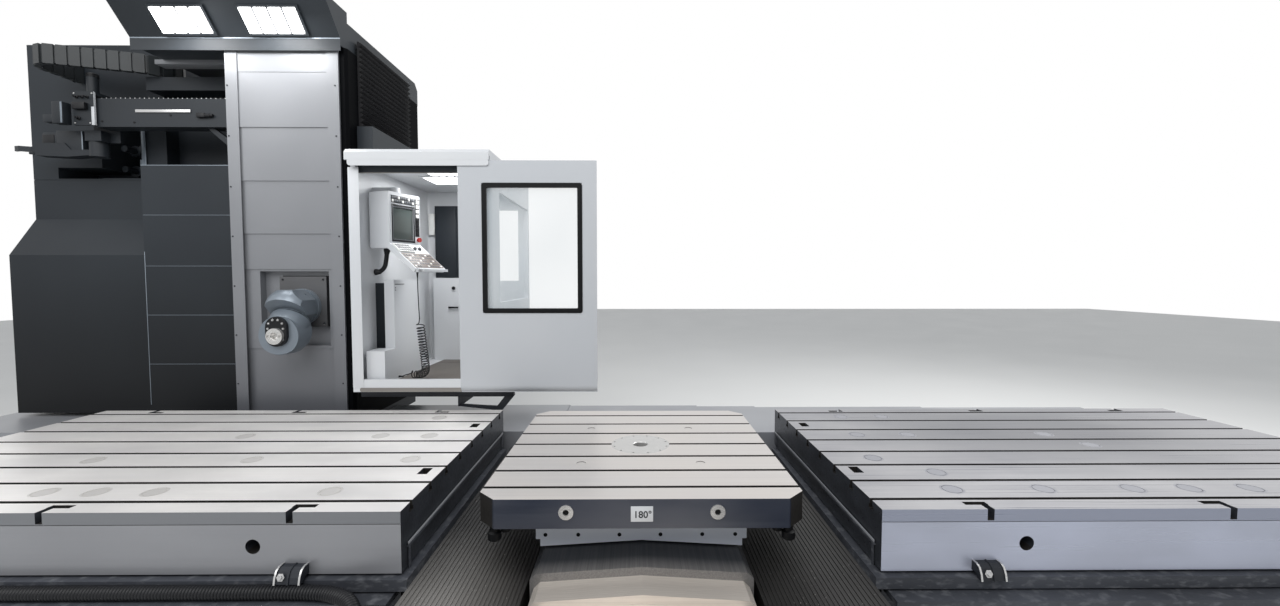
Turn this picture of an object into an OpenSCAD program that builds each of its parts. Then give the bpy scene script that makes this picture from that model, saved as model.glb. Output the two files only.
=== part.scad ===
// Travelling-column machining centre with two floor plates and a rotary table.
// Origin: on the pit floor below the rotary table's axis. +X runs along the bed, +Y towards the column.

/* [Floor plates] */
// Height of the plate and table tops above the pit floor
plate_top = 800; // [700:10:1000]
// Length of one floor plate along X
plate_len = 3520; // [2500:10:4200]
// Depth of a floor plate along Y
plate_deep = 2000; // [1800:10:2400]
// Thickness of a floor plate
plate_thick = 320; // [260:10:400]
// Distance from the table's axis to a plate's inner edge
plate_gap = 1220; // [1215:5:1500]
// Shift of the plates' middle from the table's axis, towards the front
plate_shift = 45; // [0:5:80]
// Pitch of the T-slots in plates and table
slot_pitch = 250; // [200:10:300]
// Width of a T-slot at its mouth
slot_w = 28; // [18:1:36]
// Depth of a T-slot's neck
slot_neck = 30; // [20:1:40]
// Width of the wide part of a T-slot
slot_foot_w = 50; // [40:1:60]
// Height of the wide part of a T-slot
slot_foot_h = 22; // [14:1:28]
// Diameter of the anchor covers in the plates
cap_d = 125; // [80:1:160]

/* [Rotary table] */
// Width of the table along X
table_w = 1780; // [1400:10:1800]
// Depth of the table along Y
table_deep = 1820; // [1400:10:1840]
// Thickness of the table
table_thick = 160; // [130:5:200]
// Chamfer at the table's corners
table_chamfer = 100; // [80:5:200]
// Number of T-slots in the table
table_slots = 7; // [5:2:7]
// Diameter of the disc in the table's middle
disc_d = 410; // [300:5:460]
// Diameter of the locating bore in the disc
disc_bore_d = 100; // [60:1:140]

/* [Bed] */
// Left end of the bed
bed_left = -6600; // [-6900:50:-6600]
// Right end of the bed
bed_right = 5000; // [5000:50:5600]
// Front of the bed's covers
bed_front = 1100; // [1080:5:1120]
// Depth of the bed's covers
bed_deep = 1500; // [1450:10:1600]
// Height of the widest bed cover
bed_cover_top = 560; // [540:5:600]
// Step in height and width from one bed cover to the next
cover_step = 10; // [9:1:12]
// Sheet thickness of the covers
cover_sheet = 5; // [3:1:6]
// Thickness of the plates that close the outermost covers
end_t = 6; // [4:1:10]

/* [Column] */
// Front of the column's frame
column_front = 1230; // [1225:5:1240]
// Left side of the column's frame
column_left = -3800; // [-3850:10:-3790]
// Right side of the column
column_right = -2700; // [-2705:5:-2690]
// Rear of the column
column_rear = 2850; // [2750:10:2900]
// Top of the column's covers
column_top = 4100; // [4050:10:4300]
// Width of one upright of the front frame
stile_w = 110; // [90:5:120]
// Depth step from one front cover to the next
panel_step = 8; // [7:1:9]

/* [Ram and milling head] */
// Ram axis across the bed
ram_x = -3184; // [-3190:1:-3178]
// Ram axis above the pit floor, head at its lowest
ram_z = 1757; // [1750:1:1760]
// Width of the ram
ram_w = 440; // [420:5:450]
// Height of the ram
ram_h = 475; // [440:5:480]
// Front face of the ram
ram_front = 1290; // [1280:5:1300]
// Length of the ram
ram_len = 1300; // [1100:10:1330]
// Drop from the head's turning axis to the spindle axis
elbow_drop = 242; // [235:1:250]
// Diameter over the flats of the milling head's housings
elbow_d = 350; // [320:5:355]
// Diameter of the spindle nose
nose_d = 142; // [120:1:160]
// Diameter of the tool taper's mouth
taper_d = 70; // [50:1:80]

/* [Operator cabin] */
// Left side of the cabin
cabin_left = -2547; // [-2550:1:-2540]
// Width of the cabin
cabin_w = 1243; // [1150:1:1300]
// Front of the cabin's walls
cabin_front = 950; // [945:5:960]
// Depth of the cabin
cabin_deep = 1650; // [1500:10:1700]
// Underside of the cabin
cabin_z = 965; // [950:5:980]
// Height of the cabin
cabin_h = 2130; // [2100:10:2200]
// Wall thickness of the cabin
cabin_wall = 40; // [30:1:50]
// Width of the cabin door
door_w = 1205; // [1150:1:1240]

/* [Tool changer and magazine] */
// Distance from the cladding beside the column to the magazine housing
magazine_gap = 98; // [60:2:160]
// Width of the magazine housing
magazine_w = 1400; // [1360:10:1460]
// Top of the magazine housing
magazine_top = 4400; // [4300:10:4450]
// Links of the energy chain
chain_links = 18; // [12:1:30]

/* [Hidden] */
$fn = 48;
gap = 0.3;
eps = 1;
steel = [0.72, 0.71, 0.70];
dark_paint = [0.21, 0.23, 0.26];
light_paint = [0.66, 0.67, 0.68];
white_paint = [0.84, 0.86, 0.88];
black = [0.08, 0.08, 0.09];

// plates
plate_front = -plate_shift - plate_deep / 2;
plate_rear = plate_front + plate_deep;
plate_z0 = plate_top - plate_thick;
plate_slots = floor(plate_deep / slot_pitch);
seam_drop = 62;
pocket_w = 60;
shelf_z = 395;
ledge = 35;
ledge_z = 466;
strip_w = 40;
// bed
bed_rear = bed_front + bed_deep;
bed_way_z = 430;
rail_h = 50;
rail_w = 60;
rail_y = [bed_front + 200, bed_front + 930];
foot_z = bed_way_z + rail_h + 10;
foot_left = -4640;
foot_right = column_right;
cover_flat = 1000;
cover_rear_z = bed_cover_top - 180;
cover_skirt_z = 240;
// resting and closed places of the bed covers, by their left ends
right_fixed_len = bed_right - 3100;
right_rest = [foot_right, -1250, -600, 1250];
right_lip = [-770, 650, 1300];
right_end = bed_right - right_fixed_len;
left_rest_2 = bed_left + 20;
left_rest_3 = bed_left + 10;
cover_len = foot_left - left_rest_2 - 10;
// slide
slide_way_z = 200;
slide_front = -2280;
slide_rear = bed_front - 10;
saddle_half = 618;
saddle_front = -650;
saddle_z0 = 450;
saddle_top = 600;
peak_z = 435;
peak_rise = 35;
slide_half = 600;
slide_step = 45;
slide_inset = 22;
slide_seg = 620;
slide_rest = [-1092, -1660, 350];
shoe_y = 300;
saddle_cover_reach = shoe_y + slide_seg;
// column
way_front = column_front + 190;
head_x0 = ram_x - 290;
head_x1 = ram_x + 302;
frame_deep = 96;
sides_y = column_front + frame_deep;
cladding_left = column_left - 1062;
cladding_top = 3082;
// column covers
panel_y = column_front + 10;
panel_t = 4;
panel_x0 = column_left + stile_w - 35;
panel_x1 = column_right - 65 - stile_w + 35;
frame_right = column_right - 65;
opening = [-3573, 1340, -2927, 2044];
upper_edges = [3374, 2885, 2395, 2062];
header_z = 3873;
// the lower front covers: bottom edge and top edge of each, from the head down
lower_covers = [[620, 1330], [625, 1322], [foot_z + 110, 1195]];
apron_z = 1312;
// milling head
elbow_y = ram_front - 53;
elbow_z = ram_z - 45;
flange_len = 40;
flange_r = 168;
flange_w = 184;
nose_y = elbow_y - elbow_drop - 122;
// cabin
cabin_right = cabin_left + cabin_w;
cabin_top = cabin_z + cabin_h;
cabin_rear = cabin_front + cabin_deep;
roof_t = 95;
floor_t = 60;
door_x = cabin_right - door_w + 931;
door_y = cabin_front - 45;
door_t = 40;
track_y = [door_y + 8, door_y + 32];
door_z0 = cabin_z + 2;
door_win = [206, 707, 1080, 1840];
lift_x0 = column_right + 3;
lift_x1 = cabin_left - gap;
bellows_z0 = 3430;
bellows_z1 = 4240;
// magazine and changer
mag_right = cladding_left - magazine_gap;
magazine_left = mag_right - magazine_w;
mag_y0 = 1650;
mag_y1 = 1900;
mag_z0 = bed_cover_top + 40;
beam_y = 1500;
beam_z = [3448, 3720];
beam_left = mag_right - 302;
pivot = [mag_right - 430, 1640];
arm_z = 3255;
arm_top = arm_z + 75;
arm_reach = 580;
// conduit route along the front ledge of the left plinth
conduit_r = 36;
conduit_z = shelf_z + conduit_r + 0.2;
gland_h = 50;
conduit_pts = [[-4700, -1118, conduit_z], [-4550, -1118, conduit_z], [-4100, -1120, conduit_z],
    [-3600, -1118, conduit_z], [-3100, -1119, conduit_z], [-2600, -1118, conduit_z],
    [-2100, -1119, conduit_z], [-1800, -1119, conduit_z], [-1620, -1124, conduit_z],
    [-1520, -1140, conduit_z + 1],
    [-1420, -1185, conduit_z + 1], [-1350, -1250, conduit_z - 20], [-1310, -1300, conduit_z - 70],
    [-1295, -1322, 285], [-1288, -1334, 200], [-1286, -1338, 110], [-1286, -1338, gland_h + 0.2]];

// a prism along X from a profile in (y, z)
module along_x(x0, x1) {
    translate([x0, 0, 0]) rotate([90, 0, 90]) linear_extrude(x1 - x0) children();
}
// a prism along Y from a profile in (x, z)
module along_y(y0, y1) {
    translate([0, y1, 0]) rotate([90, 0, 0]) linear_extrude(y1 - y0) children();
}
// a box between two corners
module box(a, b) {
    translate(a) cube(b - a);
}
module rounded_rect(w, h, r) {
    hull() for (x = [r, w - r], y = [r, h - r]) translate([x, y]) circle(r, $fn = 32);
}
// a round bar along Y
module rod_y(x, z, y0, y1, r) {
    translate([x, y1, z]) rotate([90, 0, 0]) cylinder(y1 - y0, r, r);
}
function reversed(list) = [for (i = [len(list) - 1:-1:0]) list[i]];
// the outline of a sheet: an open path and the same path further in
function sheet(outer, inner) = concat(outer, reversed(inner));

// T-slots
module t_slot(x0, x1, y, top) {
    box([x0, y - slot_w / 2, top - slot_neck - eps], [x1, y + slot_w / 2, top + eps]);
    box([x0, y - slot_foot_w / 2, top - slot_neck - slot_foot_h],
        [x1, y + slot_foot_w / 2, top - slot_neck]);
}

// Floor plates
module plate_notch(x, y, side) {
    box([x - 60, y - 18, plate_top - 40], [x + 60, y + 18, plate_top + eps]);
    box([x + 20, min(y, y + side * 150), plate_top - 58],
        [x + 55, max(y, y + side * 150), plate_top + eps]);
}
module plate_body(cap_places) {
    first = plate_front + (plate_deep - (plate_slots - 1) * slot_pitch) / 2;
    difference() {
        box([plate_gap, plate_front, plate_z0], [plate_gap + plate_len, plate_rear, plate_top]);
        for (i = [0:plate_slots - 1])
            t_slot(plate_gap - eps, plate_gap + plate_len + eps, first + i * slot_pitch, plate_top);
        // shadow seam below the working face
        for (y = [plate_front - eps, plate_rear - 4])
            box([plate_gap - eps, y, plate_top - seam_drop - 4],
                [plate_gap + plate_len + eps, y + 4 + eps, plate_top - seam_drop]);
        for (k = [0:2], x = plate_gap + 520 + k * (plate_len / 2 - 510)) {
            plate_notch(x, plate_front + 70, -1);
            plate_notch(x, plate_rear - 70, 1);
        }
        for (y = [-500, 470])
            box([plate_gap + 70, y - 50, plate_top - 60],
                [plate_gap + 70 + pocket_w, y + 50, plate_top + eps]);
        // lifting holes in the front face
        for (x = [plate_gap + 745, plate_gap + plate_len - 745])
            rod_y(x, plate_top - 178, plate_front - eps, plate_front + 120, 37.5);
        for (p = cap_places) translate([p.x, p.y, plate_top - 12]) cylinder(12 + eps, d = cap_d + 2 * gap);
    }
}
left_caps = [[-3281, -795], [-2999, -795], [-2680, -795], [-1720, -795], [-3541, -295], [-2521, -295],
    [-1498, -295], [-2942, 205], [-1939, 205], [-1576, 205], [-1692, 705]];
right_caps = [[1715, 705], [2060, 705], [1636, 205], [2017, 205], [1523, -295], [1732, -795],
    [2244, -795], [2747, -795], [3069, -795], [3415, -795], [1793, -545], [3184, -45], [3054, 205]];
module left_floor_plate() {
    color(steel) mirror([1, 0, 0]) plate_body([for (p = left_caps) [-p.x, p.y]]);
}
module right_floor_plate() {
    color(steel) plate_body(right_caps);
}
module anchor_caps() {
    color(steel) for (p = concat(left_caps, right_caps))
        translate([p.x, p.y, plate_top - 12]) difference() {
            cylinder(12, d = cap_d);
            translate([0, 0, 9]) difference() {
                cylinder(4, d = cap_d - 18);
                translate([0, 0, -eps]) cylinder(6, d = cap_d - 26);
            }
        }
}
// Plinths under the plates: a recessed neck, a ledge, a shelf in front and a gutter on the inner side
module plinth(neck_x) {
    neck = 40;
    along_x(neck_x, plate_gap + plate_len - 25) polygon([[plate_front + neck, plate_z0],
        [plate_front + neck, ledge_z], [plate_front - ledge, ledge_z], [plate_front - ledge, ledge_z - 60],
        [plate_front - ledge + 20, ledge_z - 60], [plate_front - ledge + 20, shelf_z],
        [plate_front - ledge - 85, shelf_z], [plate_front - ledge - 85, shelf_z - 30],
        [plate_front + neck, shelf_z - 30], [plate_front + neck, 0], [plate_rear - neck, 0],
        [plate_rear - neck, plate_z0]]);
    along_y(plate_front + 60, plate_rear - 60) polygon([[plate_gap - gap, 590], [plate_gap - gap, 586],
        [plate_gap - 12, 586], [plate_gap - 12, 612], [plate_gap - 8, 612], [plate_gap - 8, 590]]);
    // strip along the inner side, with the gutter's posts
    box([plate_gap - strip_w, plate_front - ledge, ledge_z - 60], [neck_x + eps, plate_rear - 60, ledge_z]);
    for (y = [plate_front + 70, plate_rear - 90])
        box([plate_gap - 9, y, ledge_z - eps], [plate_gap - 5, y + 20, ledge_z + 122]);
}
module plate_plinths() {
    cord_in = conduit_pts[0];
    cord_end = conduit_pts[len(conduit_pts) - 1];
    color(dark_paint) {
        plinth(plate_gap + 25);
        mirror([1, 0, 0]) plinth(plate_gap + 25);
        // glands at the conduit's ends: one on the shelf, one on the pit floor
        box([cord_in.x - 14, plate_front - ledge - 80, shelf_z - eps], [cord_in.x - 0.2,
            plate_front - ledge - 0.5, shelf_z + 2 * conduit_r + 8]);
        box([cord_end.x - 60, cord_end.y - 60, 0], [cord_end.x + 60, cord_end.y + 60, gland_h]);
    }
}
module clamp_bracket() {
    strap = [[0, 56], [0, 68], [-30, 68], [-52, 56], [-66, 30], [-72, 0], [-60, 0], [-54, 28], [-44, 46],
        [-28, 56]];
    rotate([90, 0, 90]) translate([0, 0, -65]) linear_extrude(130) polygon(strap);
    for (x = [-65, 0, 57]) translate([x, 0, 0]) rotate([90, 0, 90]) linear_extrude(8)
        polygon([[0, 20], [0, 72], [-32, 72], [-56, 60], [-71, 32], [-78, 0], [-50, 0], [-30, 20]]);
    translate([-28, -58, 34]) rotate([75, 0, 0]) cylinder(16, d = 22, $fn = 6);
}
module clamp_brackets() {
    color(black) for (x = [plate_gap + 530, plate_gap + plate_len - 560], side = [-1, 1])
        translate([side * x, plate_front - gap, shelf_z + 2 * conduit_r + 1]) clamp_bracket();
}
module trough_covers() {
    y0 = slide_front + 20;
    y1 = bed_front - 20;
    ribs = 26;
    x0 = slide_half + 42;
    x1 = plate_gap - strip_w - gap;
    foot_x = 540 + gap;
    pitch = (x1 - x0) / ribs;
    color(black) for (side = [0, 1]) mirror([side, 0, 0]) along_y(y0, y1)
        polygon(concat([[x1, 0], [foot_x, 0], [foot_x, 45], [x0, 45]], [for (i = [0:ribs - 1], k = [0:3])
            let (x = x0 + (i + [0, 0.5, 0.55, 0.95][k]) * pitch, z = 260 + (x - x0) / (x1 - x0) * 160)
            [x, z + [5, 5, 0, 0][k]]], [[x1, 420]]));
}
module cable_conduit() {
    color(black) sweep_tube(conduit_pts, conduit_r, 10);
}
// a tube with flat ends along a list of points; r is one radius or one for each point
function unit(v) = v / norm(v);
module sweep_tube(pts, r, sides) {
    n = len(pts);
    rings = [for (i = [0:n - 1])
        let (t = unit(pts[min(i + 1, n - 1)] - pts[max(i - 1, 0)]), u = unit(cross(t, [0.13, 1, 0.07])),
            w = cross(t, u), q = is_list(r) ? r[i] : r)
        for (k = [0:sides - 1]) pts[i] + q * (cos(k * 360 / sides) * u + sin(k * 360 / sides) * w)];
    walls = [for (i = [0:n - 2], k = [0:sides - 1]) let (a = i * sides + k, b = i * sides + (k + 1) % sides)
        [a, b, b + sides, a + sides]];
    polyhedron(rings, concat([[for (k = [sides - 1:-1:0]) k]], walls,
        [[for (k = [0:sides - 1]) (n - 1) * sides + k]]), convexity = 6);
}

// Bed and its covers
module x_bed() {
    out = rail_w / 2;
    top = bed_way_z + rail_h;
    color(dark_paint) {
        along_x(bed_left + 60, bed_right - 60) polygon([[bed_front + 70, 0], [bed_rear - 70, 0],
            [bed_rear - 70, 120], [bed_rear - 130, 200], [bed_rear - 130, 290],
            [rail_y[1] + 60, bed_way_z], [rail_y[1] + out, bed_way_z], [rail_y[1] + out, top],
            [rail_y[1] - out, top], [rail_y[1] - out, bed_way_z],
            [rail_y[1] - 90, bed_way_z], [rail_y[1] - 150, 280], [rail_y[0] + 220, 280],
            [rail_y[0] + 160, bed_way_z], [rail_y[0] + out, bed_way_z], [rail_y[0] + out, top],
            [rail_y[0] - out, top], [rail_y[0] - out, bed_way_z],
            [bed_front + 100, bed_way_z], [bed_front + 100, 200], [bed_front + 70, 120]]);
        // brackets that carry the fixed end covers
        for (x = [bed_left + 100, bed_right - 140])
            along_x(x, x + 40) polygon([[bed_front + 105, cover_skirt_z],
                [bed_front + 105, cover_skirt_z - 12], [bed_front + 30, cover_skirt_z - 12],
                [bed_front + 30, cover_skirt_z]]);
    }
}
function cover_path(i) = [[bed_front + i, cover_skirt_z], [bed_front + i, bed_cover_top - i],
    [bed_front + cover_flat, bed_cover_top - i], [bed_rear - i, cover_rear_z - i],
    [bed_rear - i, cover_skirt_z]];
// one bed cover: level 0 is the widest; its lip runs on the cover below
module bed_cover(level, x0, x1, lip_at) {
    i = level * cover_step;
    along_x(x0, x1) polygon(sheet(cover_path(i), cover_path(i + cover_sheet)));
    if (lip_at != 0) {
        lx = lip_at > 0 ? x1 - 30 : x0;
        along_x(lx, lx + 30) polygon(sheet(cover_path(i + cover_sheet - 0.5),
            cover_path(i + cover_step - gap)));
    }
}
module end_plate(level, x) {
    i = level * cover_step;
    along_x(x, x + end_t) polygon(cover_path(i));
}
module bed_end_covers() {
    color(light_paint) {
        bed_cover(4, right_end, bed_right, 0);
        end_plate(4, bed_right - end_t);
        bed_cover(3, bed_left, bed_left + cover_len, 0);
        end_plate(3, bed_left);
    }
}
module column_bed_covers() {
    color(light_paint) {
        bed_cover(0, foot_right + 2, right_lip[0], 1);
        bed_cover(0, bed_left + 30, foot_left - 2, -1);
    }
}
module right_cover_2() { color(light_paint) bed_cover(1, right_rest[1], right_lip[1], 1); }
module right_cover_3() { color(light_paint) bed_cover(2, right_rest[2], right_lip[2], 1); }
module right_cover_4() { color(light_paint) bed_cover(3, right_rest[3], right_rest[3] + cover_len, 1); }
module left_cover_2() { color(light_paint) bed_cover(1, left_rest_2, left_rest_2 + cover_len, -1); }
module left_cover_3() { color(light_paint) bed_cover(2, left_rest_3, left_rest_3 + cover_len, -1); }

// Slide under the table
function slide_path(level, inset) = let (h = slide_half - level * slide_inset - inset,
    z = peak_z - level * slide_step - inset, low = slide_way_z + 12)
    [[-h, low], [-h, z - peak_rise - 34], [-h + 34, z - peak_rise], [0, z], [h - 34, z - peak_rise],
    [h, z - peak_rise - 34], [h, low]];
// one slide cover: a peaked sheet with a front plate that closes the step to the next one
module slide_cover(level, y0, y1, lip_at) {
    along_y(y0, y1) polygon(sheet(slide_path(level, 0), slide_path(level, cover_sheet)));
    if (lip_at != 0) {
        ly = lip_at > 0 ? y1 - 12 : y0;
        along_y(ly, ly + 12) polygon(sheet(slide_path(level, cover_sheet - 0.5),
            slide_path(level + 1, -gap)));
    }
}
module slide_bed() {
    way_x = 450;
    color(dark_paint) {
        along_y(slide_front + 10, slide_rear) polygon([[-540, 0], [-540, 60], [-500, 90],
            [-500, slide_way_z], [-way_x + 90, slide_way_z], [-way_x + 120, 110], [way_x - 120, 110],
            [way_x - 90, slide_way_z], [500, slide_way_z], [500, 90], [540, 60], [540, 0]]);
        box([-500, slide_rear - eps, 0], [500, bed_front + 70 - gap, 60]);
        for (s = [-1, 1]) box([s * way_x - 25, slide_front + 30, slide_way_z - eps],
            [s * way_x + 25, slide_rear - 20, slide_way_z + 40]);
    }
}
module slide_end_covers() {
    low = slide_way_z + 12;
    color(light_paint) {
        slide_cover(3, slide_front, slide_front + slide_seg + 40, 0);
        along_y(slide_front, slide_front + 6) polygon(slide_path(3, 0));
        slide_cover(2, 390, slide_rear, 0);
        along_y(slide_rear - 6, slide_rear) polygon(slide_path(2, 0));
        // feet against the slide bed's sides
        for (s = [0, 1], f = [[3, slide_front + 12], [2, slide_rear - 34]]) mirror([s, 0, 0])
            box([500, f[1], slide_way_z - 100], [slide_half - f[0] * slide_inset - 1, f[1] + 14, low + 10]);
    }
}
module saddle_covers() {
    color(light_paint) {
        slide_cover(0, -saddle_cover_reach, -shoe_y, -1);
        slide_cover(0, shoe_y, saddle_cover_reach, 1);
        // posts up to the saddle's underside
        for (x = [-320, 280], y = [-saddle_half + 30, saddle_half - 70])
            box([x, y, peak_z - peak_rise + 4], [x + 40, y + 40, saddle_z0]);
    }
}
module slide_cover_2() { color(light_paint) slide_cover(1, slide_rest[0], slide_rest[0] + slide_seg, -1); }
module slide_cover_3() { color(light_paint) slide_cover(2, slide_rest[1], slide_rest[1] + slide_seg, -1); }
module rear_cover_2() { color(light_paint) slide_cover(1, slide_rest[2], slide_rest[2] + slide_seg, 1); }
module table_saddle() {
    color(light_paint) {
        box([-saddle_half, saddle_front, saddle_z0], [saddle_half, -saddle_front, saddle_top - 20]);
        translate([0, 0, saddle_top - 20 - eps]) cylinder(20 + eps, r = 560);
        // runner blocks between the slide covers
        for (s = [-1, 1], y = [-shoe_y + 20, shoe_y - 140]) difference() {
            box([s * 450 - 60, y, slide_way_z + 1], [s * 450 + 60, y + 120, saddle_z0 + eps]);
            box([s * 450 - 25 - gap, y - eps, slide_way_z - eps],
                [s * 450 + 25 + gap, y + 120 + eps, slide_way_z + 40 + gap]);
        }
    }
}
module table_plan(grow) {
    w = table_w / 2 + grow;
    d = table_deep / 2 + grow;
    c = table_chamfer;
    polygon([[-w + c, -d], [w - c, -d], [w, -d + c], [w, d - c], [w - c, d], [-w + c, d], [-w, d - c],
        [-w, -d + c]]);
}
plug_x = 405;
plug_z = plate_top - 70;
module rotary_table() {
    color([0.27, 0.31, 0.38]) difference() {
        union() {
            translate([0, 0, plate_top - table_thick]) linear_extrude(table_thick) table_plan(0);
            translate([0, 0, saddle_top]) cylinder(plate_top - table_thick - saddle_top + eps, r = 540);
        }
        for (i = [0:table_slots - 1]) let (y = (i - (table_slots - 1) / 2) * slot_pitch)
            t_slot(-table_w, table_w, y, plate_top);
        translate([0, 0, plate_top - 60]) cylinder(61, d = disc_d + 2 * gap);
        translate([0, 0, saddle_top - eps]) cylinder(table_thick, d = disc_bore_d + 60);
        for (s = [-1, 1]) rod_y(s * plug_x, plug_z, -table_deep / 2 - eps, -table_deep / 2 + 60, 30);
        for (x = [-380, 380], y = [-375, 375]) translate([x, y, plate_top - 3]) cylinder(4, d = 60);
    }
}
module table_disc() {
    color(steel) difference() {
        translate([0, 0, plate_top - 60]) cylinder(60, d = disc_d);
        translate([0, 0, plate_top - 61]) cylinder(62, d = disc_bore_d);
        translate([0, 0, plate_top - 6]) cylinder(6 + eps, disc_bore_d / 2, disc_bore_d / 2 + 7);
        for (i = [0:11]) rotate(i * 30 + 15) translate([disc_d / 2 - 16, 0, plate_top - 8])
            cylinder(8 + eps, d = 15);
    }
}
module ring_plugs() {
    y = -table_deep / 2;
    color(steel) for (s = [-1, 1]) difference() {
        union() {
            rod_y(s * plug_x, plug_z, y, y + 55, 30 - gap);
            rod_y(s * plug_x, plug_z, y - 7, y, 40);
        }
        rod_y(s * plug_x, plug_z, y - 7 - eps, y + 45, 16);
    }
}

// Column
module column() {
    color(dark_paint) {
        // foot
        box([foot_left, bed_front + 30, foot_z], [foot_right, bed_rear - 30, foot_z + 110]);
        for (y = rail_y, x = [foot_left + 40, (foot_left + foot_right - 300) / 2, foot_right - 340])
            difference() {
                box([x, y - 65, bed_way_z + 4], [x + 300, y + 65, foot_z + eps]);
                box([x - eps, y - rail_w / 2 - gap, bed_way_z], [x + 300 + eps, y + rail_w / 2 + gap,
                    bed_way_z + rail_h + gap]);
            }
        // uprights with their guide ways
        for (s = [[column_left + 12, head_x0 - 5], [head_x1 + 5, column_right - 12]]) {
            box([s[0], way_front, foot_z + 100], [s[1], column_rear - 200, column_top - 60]);
            box([s[0] + 30, way_front - 30, foot_z + 130], [s[1] - 20, way_front + eps, column_top - 80]);
        }
        // crosshead
        box([head_x0 - 10, way_front + 60, column_top - 320], [head_x1 + 10, column_rear - 210,
            column_top - 60]);
    }
}
module head_carriage() {
    z0 = ram_z - ram_h / 2 - 110;
    z1 = ram_z + ram_h / 2 + 110;
    color(dark_paint) difference() {
        union() {
            box([head_x0, way_front - 60, z0], [head_x1, column_rear - 300, z1]);
            box([head_x0 - 200, way_front - 60, z0], [head_x0 + eps, way_front - 30 - gap, z1]);
            box([head_x1 - eps, way_front - 60, z0], [head_x1 + 90, way_front - 30 - gap, z1]);
        }
        box([ram_x - ram_w / 2 - gap, 0, ram_z - ram_h / 2 - gap], [ram_x + ram_w / 2 + gap, column_rear,
            ram_z + ram_h / 2 + gap]);
    }
}
module ram() {
    color(steel) difference() {
        along_y(ram_front, ram_front + ram_len) translate([ram_x - ram_w / 2, ram_z - ram_h / 2])
            square([ram_w, ram_h]);
        // bolt recesses in the corners of the face
        for (x = [-1, 1], z = [-1, 1]) rod_y(ram_x + x * (ram_w / 2 - 30), ram_z + z * (ram_h / 2 - 30),
            ram_front - eps, ram_front + 10, 11);
    }
}
// half space on the ram's side of the elbow's joint face, moved by d towards the nose
module ram_side(d) {
    translate([0, elbow_y - elbow_drop / 2, elbow_z - elbow_drop / 2]) rotate([-45, 0, 0])
        translate([ram_x - 400, -400, -d]) cube([800, 800, 800]);
}
module joint_ring(z0, h, r) {
    translate([0, elbow_y - elbow_drop / 2, elbow_z - elbow_drop / 2]) rotate([-45, 0, 0])
        translate([ram_x, 0, z0]) cylinder(h, r = r);
}
module octagon_y(z, y0, y1, flats) {
    translate([ram_x, y1, z]) rotate([90, 0, 0]) rotate(22.5)
        cylinder(y1 - y0, d = flats / cos(22.5), $fn = 8);
}
module head_swivel() {
    color(light_paint) difference() {
        union() {
            rod_y(ram_x, elbow_z, ram_front - flange_len, ram_front, flange_r);
            intersection() {
                octagon_y(elbow_z, elbow_y - elbow_drop - 120, ram_front - flange_len + eps, elbow_d - 30);
                ram_side(-14);
                // crowned edges of the housing
                translate([ram_x, elbow_y - 120, elbow_z - 10]) sphere(r = elbow_d / 2 + 26);
            }
            joint_ring(7, 8, elbow_d / 2 - 22);
        }
        // oil hole in the slanted side
        translate([ram_x, elbow_y - 90, elbow_z]) rotate([0, 45, 0]) cylinder(400, r = 9);
    }
}
// the joint's lower ring turns 7 mm from the upper one on a smaller seat
module head_tilt() {
    z = elbow_z - elbow_drop;
    color(light_paint) {
        difference() {
            union() {
                intersection() {
                    union() {
                        rod_y(ram_x, z, nose_y + 60, elbow_y, elbow_d / 2);
                        joint_ring(-200, 193, elbow_d / 2 - 9);
                    }
                    difference() {
                        translate([ram_x - 400, nose_y + 60, 0]) cube([800, 600, ram_z]);
                        ram_side(7);
                    }
                    // rounded back and underside of the housing
                    translate([ram_x, elbow_y - elbow_drop + 15, z + 30]) sphere(r = elbow_d / 2 + 36);
                }
                joint_ring(-8, 15 - gap, elbow_d / 2 - 40);
                // dark nose flange
                along_y(nose_y + 30, nose_y + 61) hull() for (up = [0, 78])
                    translate([ram_x, z + up]) circle(flange_w / 2, $fn = 40);
            }
            rod_y(ram_x, z, nose_y - eps, nose_y + 52, nose_d / 2 + 0.05);
        }
        // bolt heads on the flange
        for (a = [-60, -20, 20, 60, 100, -100]) translate([ram_x, 0, z + 78]) rotate([0, a, 0])
            translate([0, 0, 68]) rod_y(0, 0, nose_y + 22, nose_y + 31, 8);
    }
}
module spindle_nose() {
    z = elbow_z - elbow_drop;
    color(steel) difference() {
        rod_y(ram_x, z, nose_y, nose_y + 52 - gap, nose_d / 2);
        translate([ram_x, nose_y - eps, z]) rotate([-90, 0, 0]) cylinder(20 + eps, d = taper_d);
        translate([ram_x, nose_y + 19, z]) rotate([-90, 0, 0])
            cylinder(24, taper_d / 2 - 3, taper_d / 2 - 10);
        for (s = [-1, 1]) box([ram_x + s * 54 - 12, nose_y - eps, z - 13],
            [ram_x + s * 54 + 12, nose_y + 12, z + 13]);
    }
}
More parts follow.
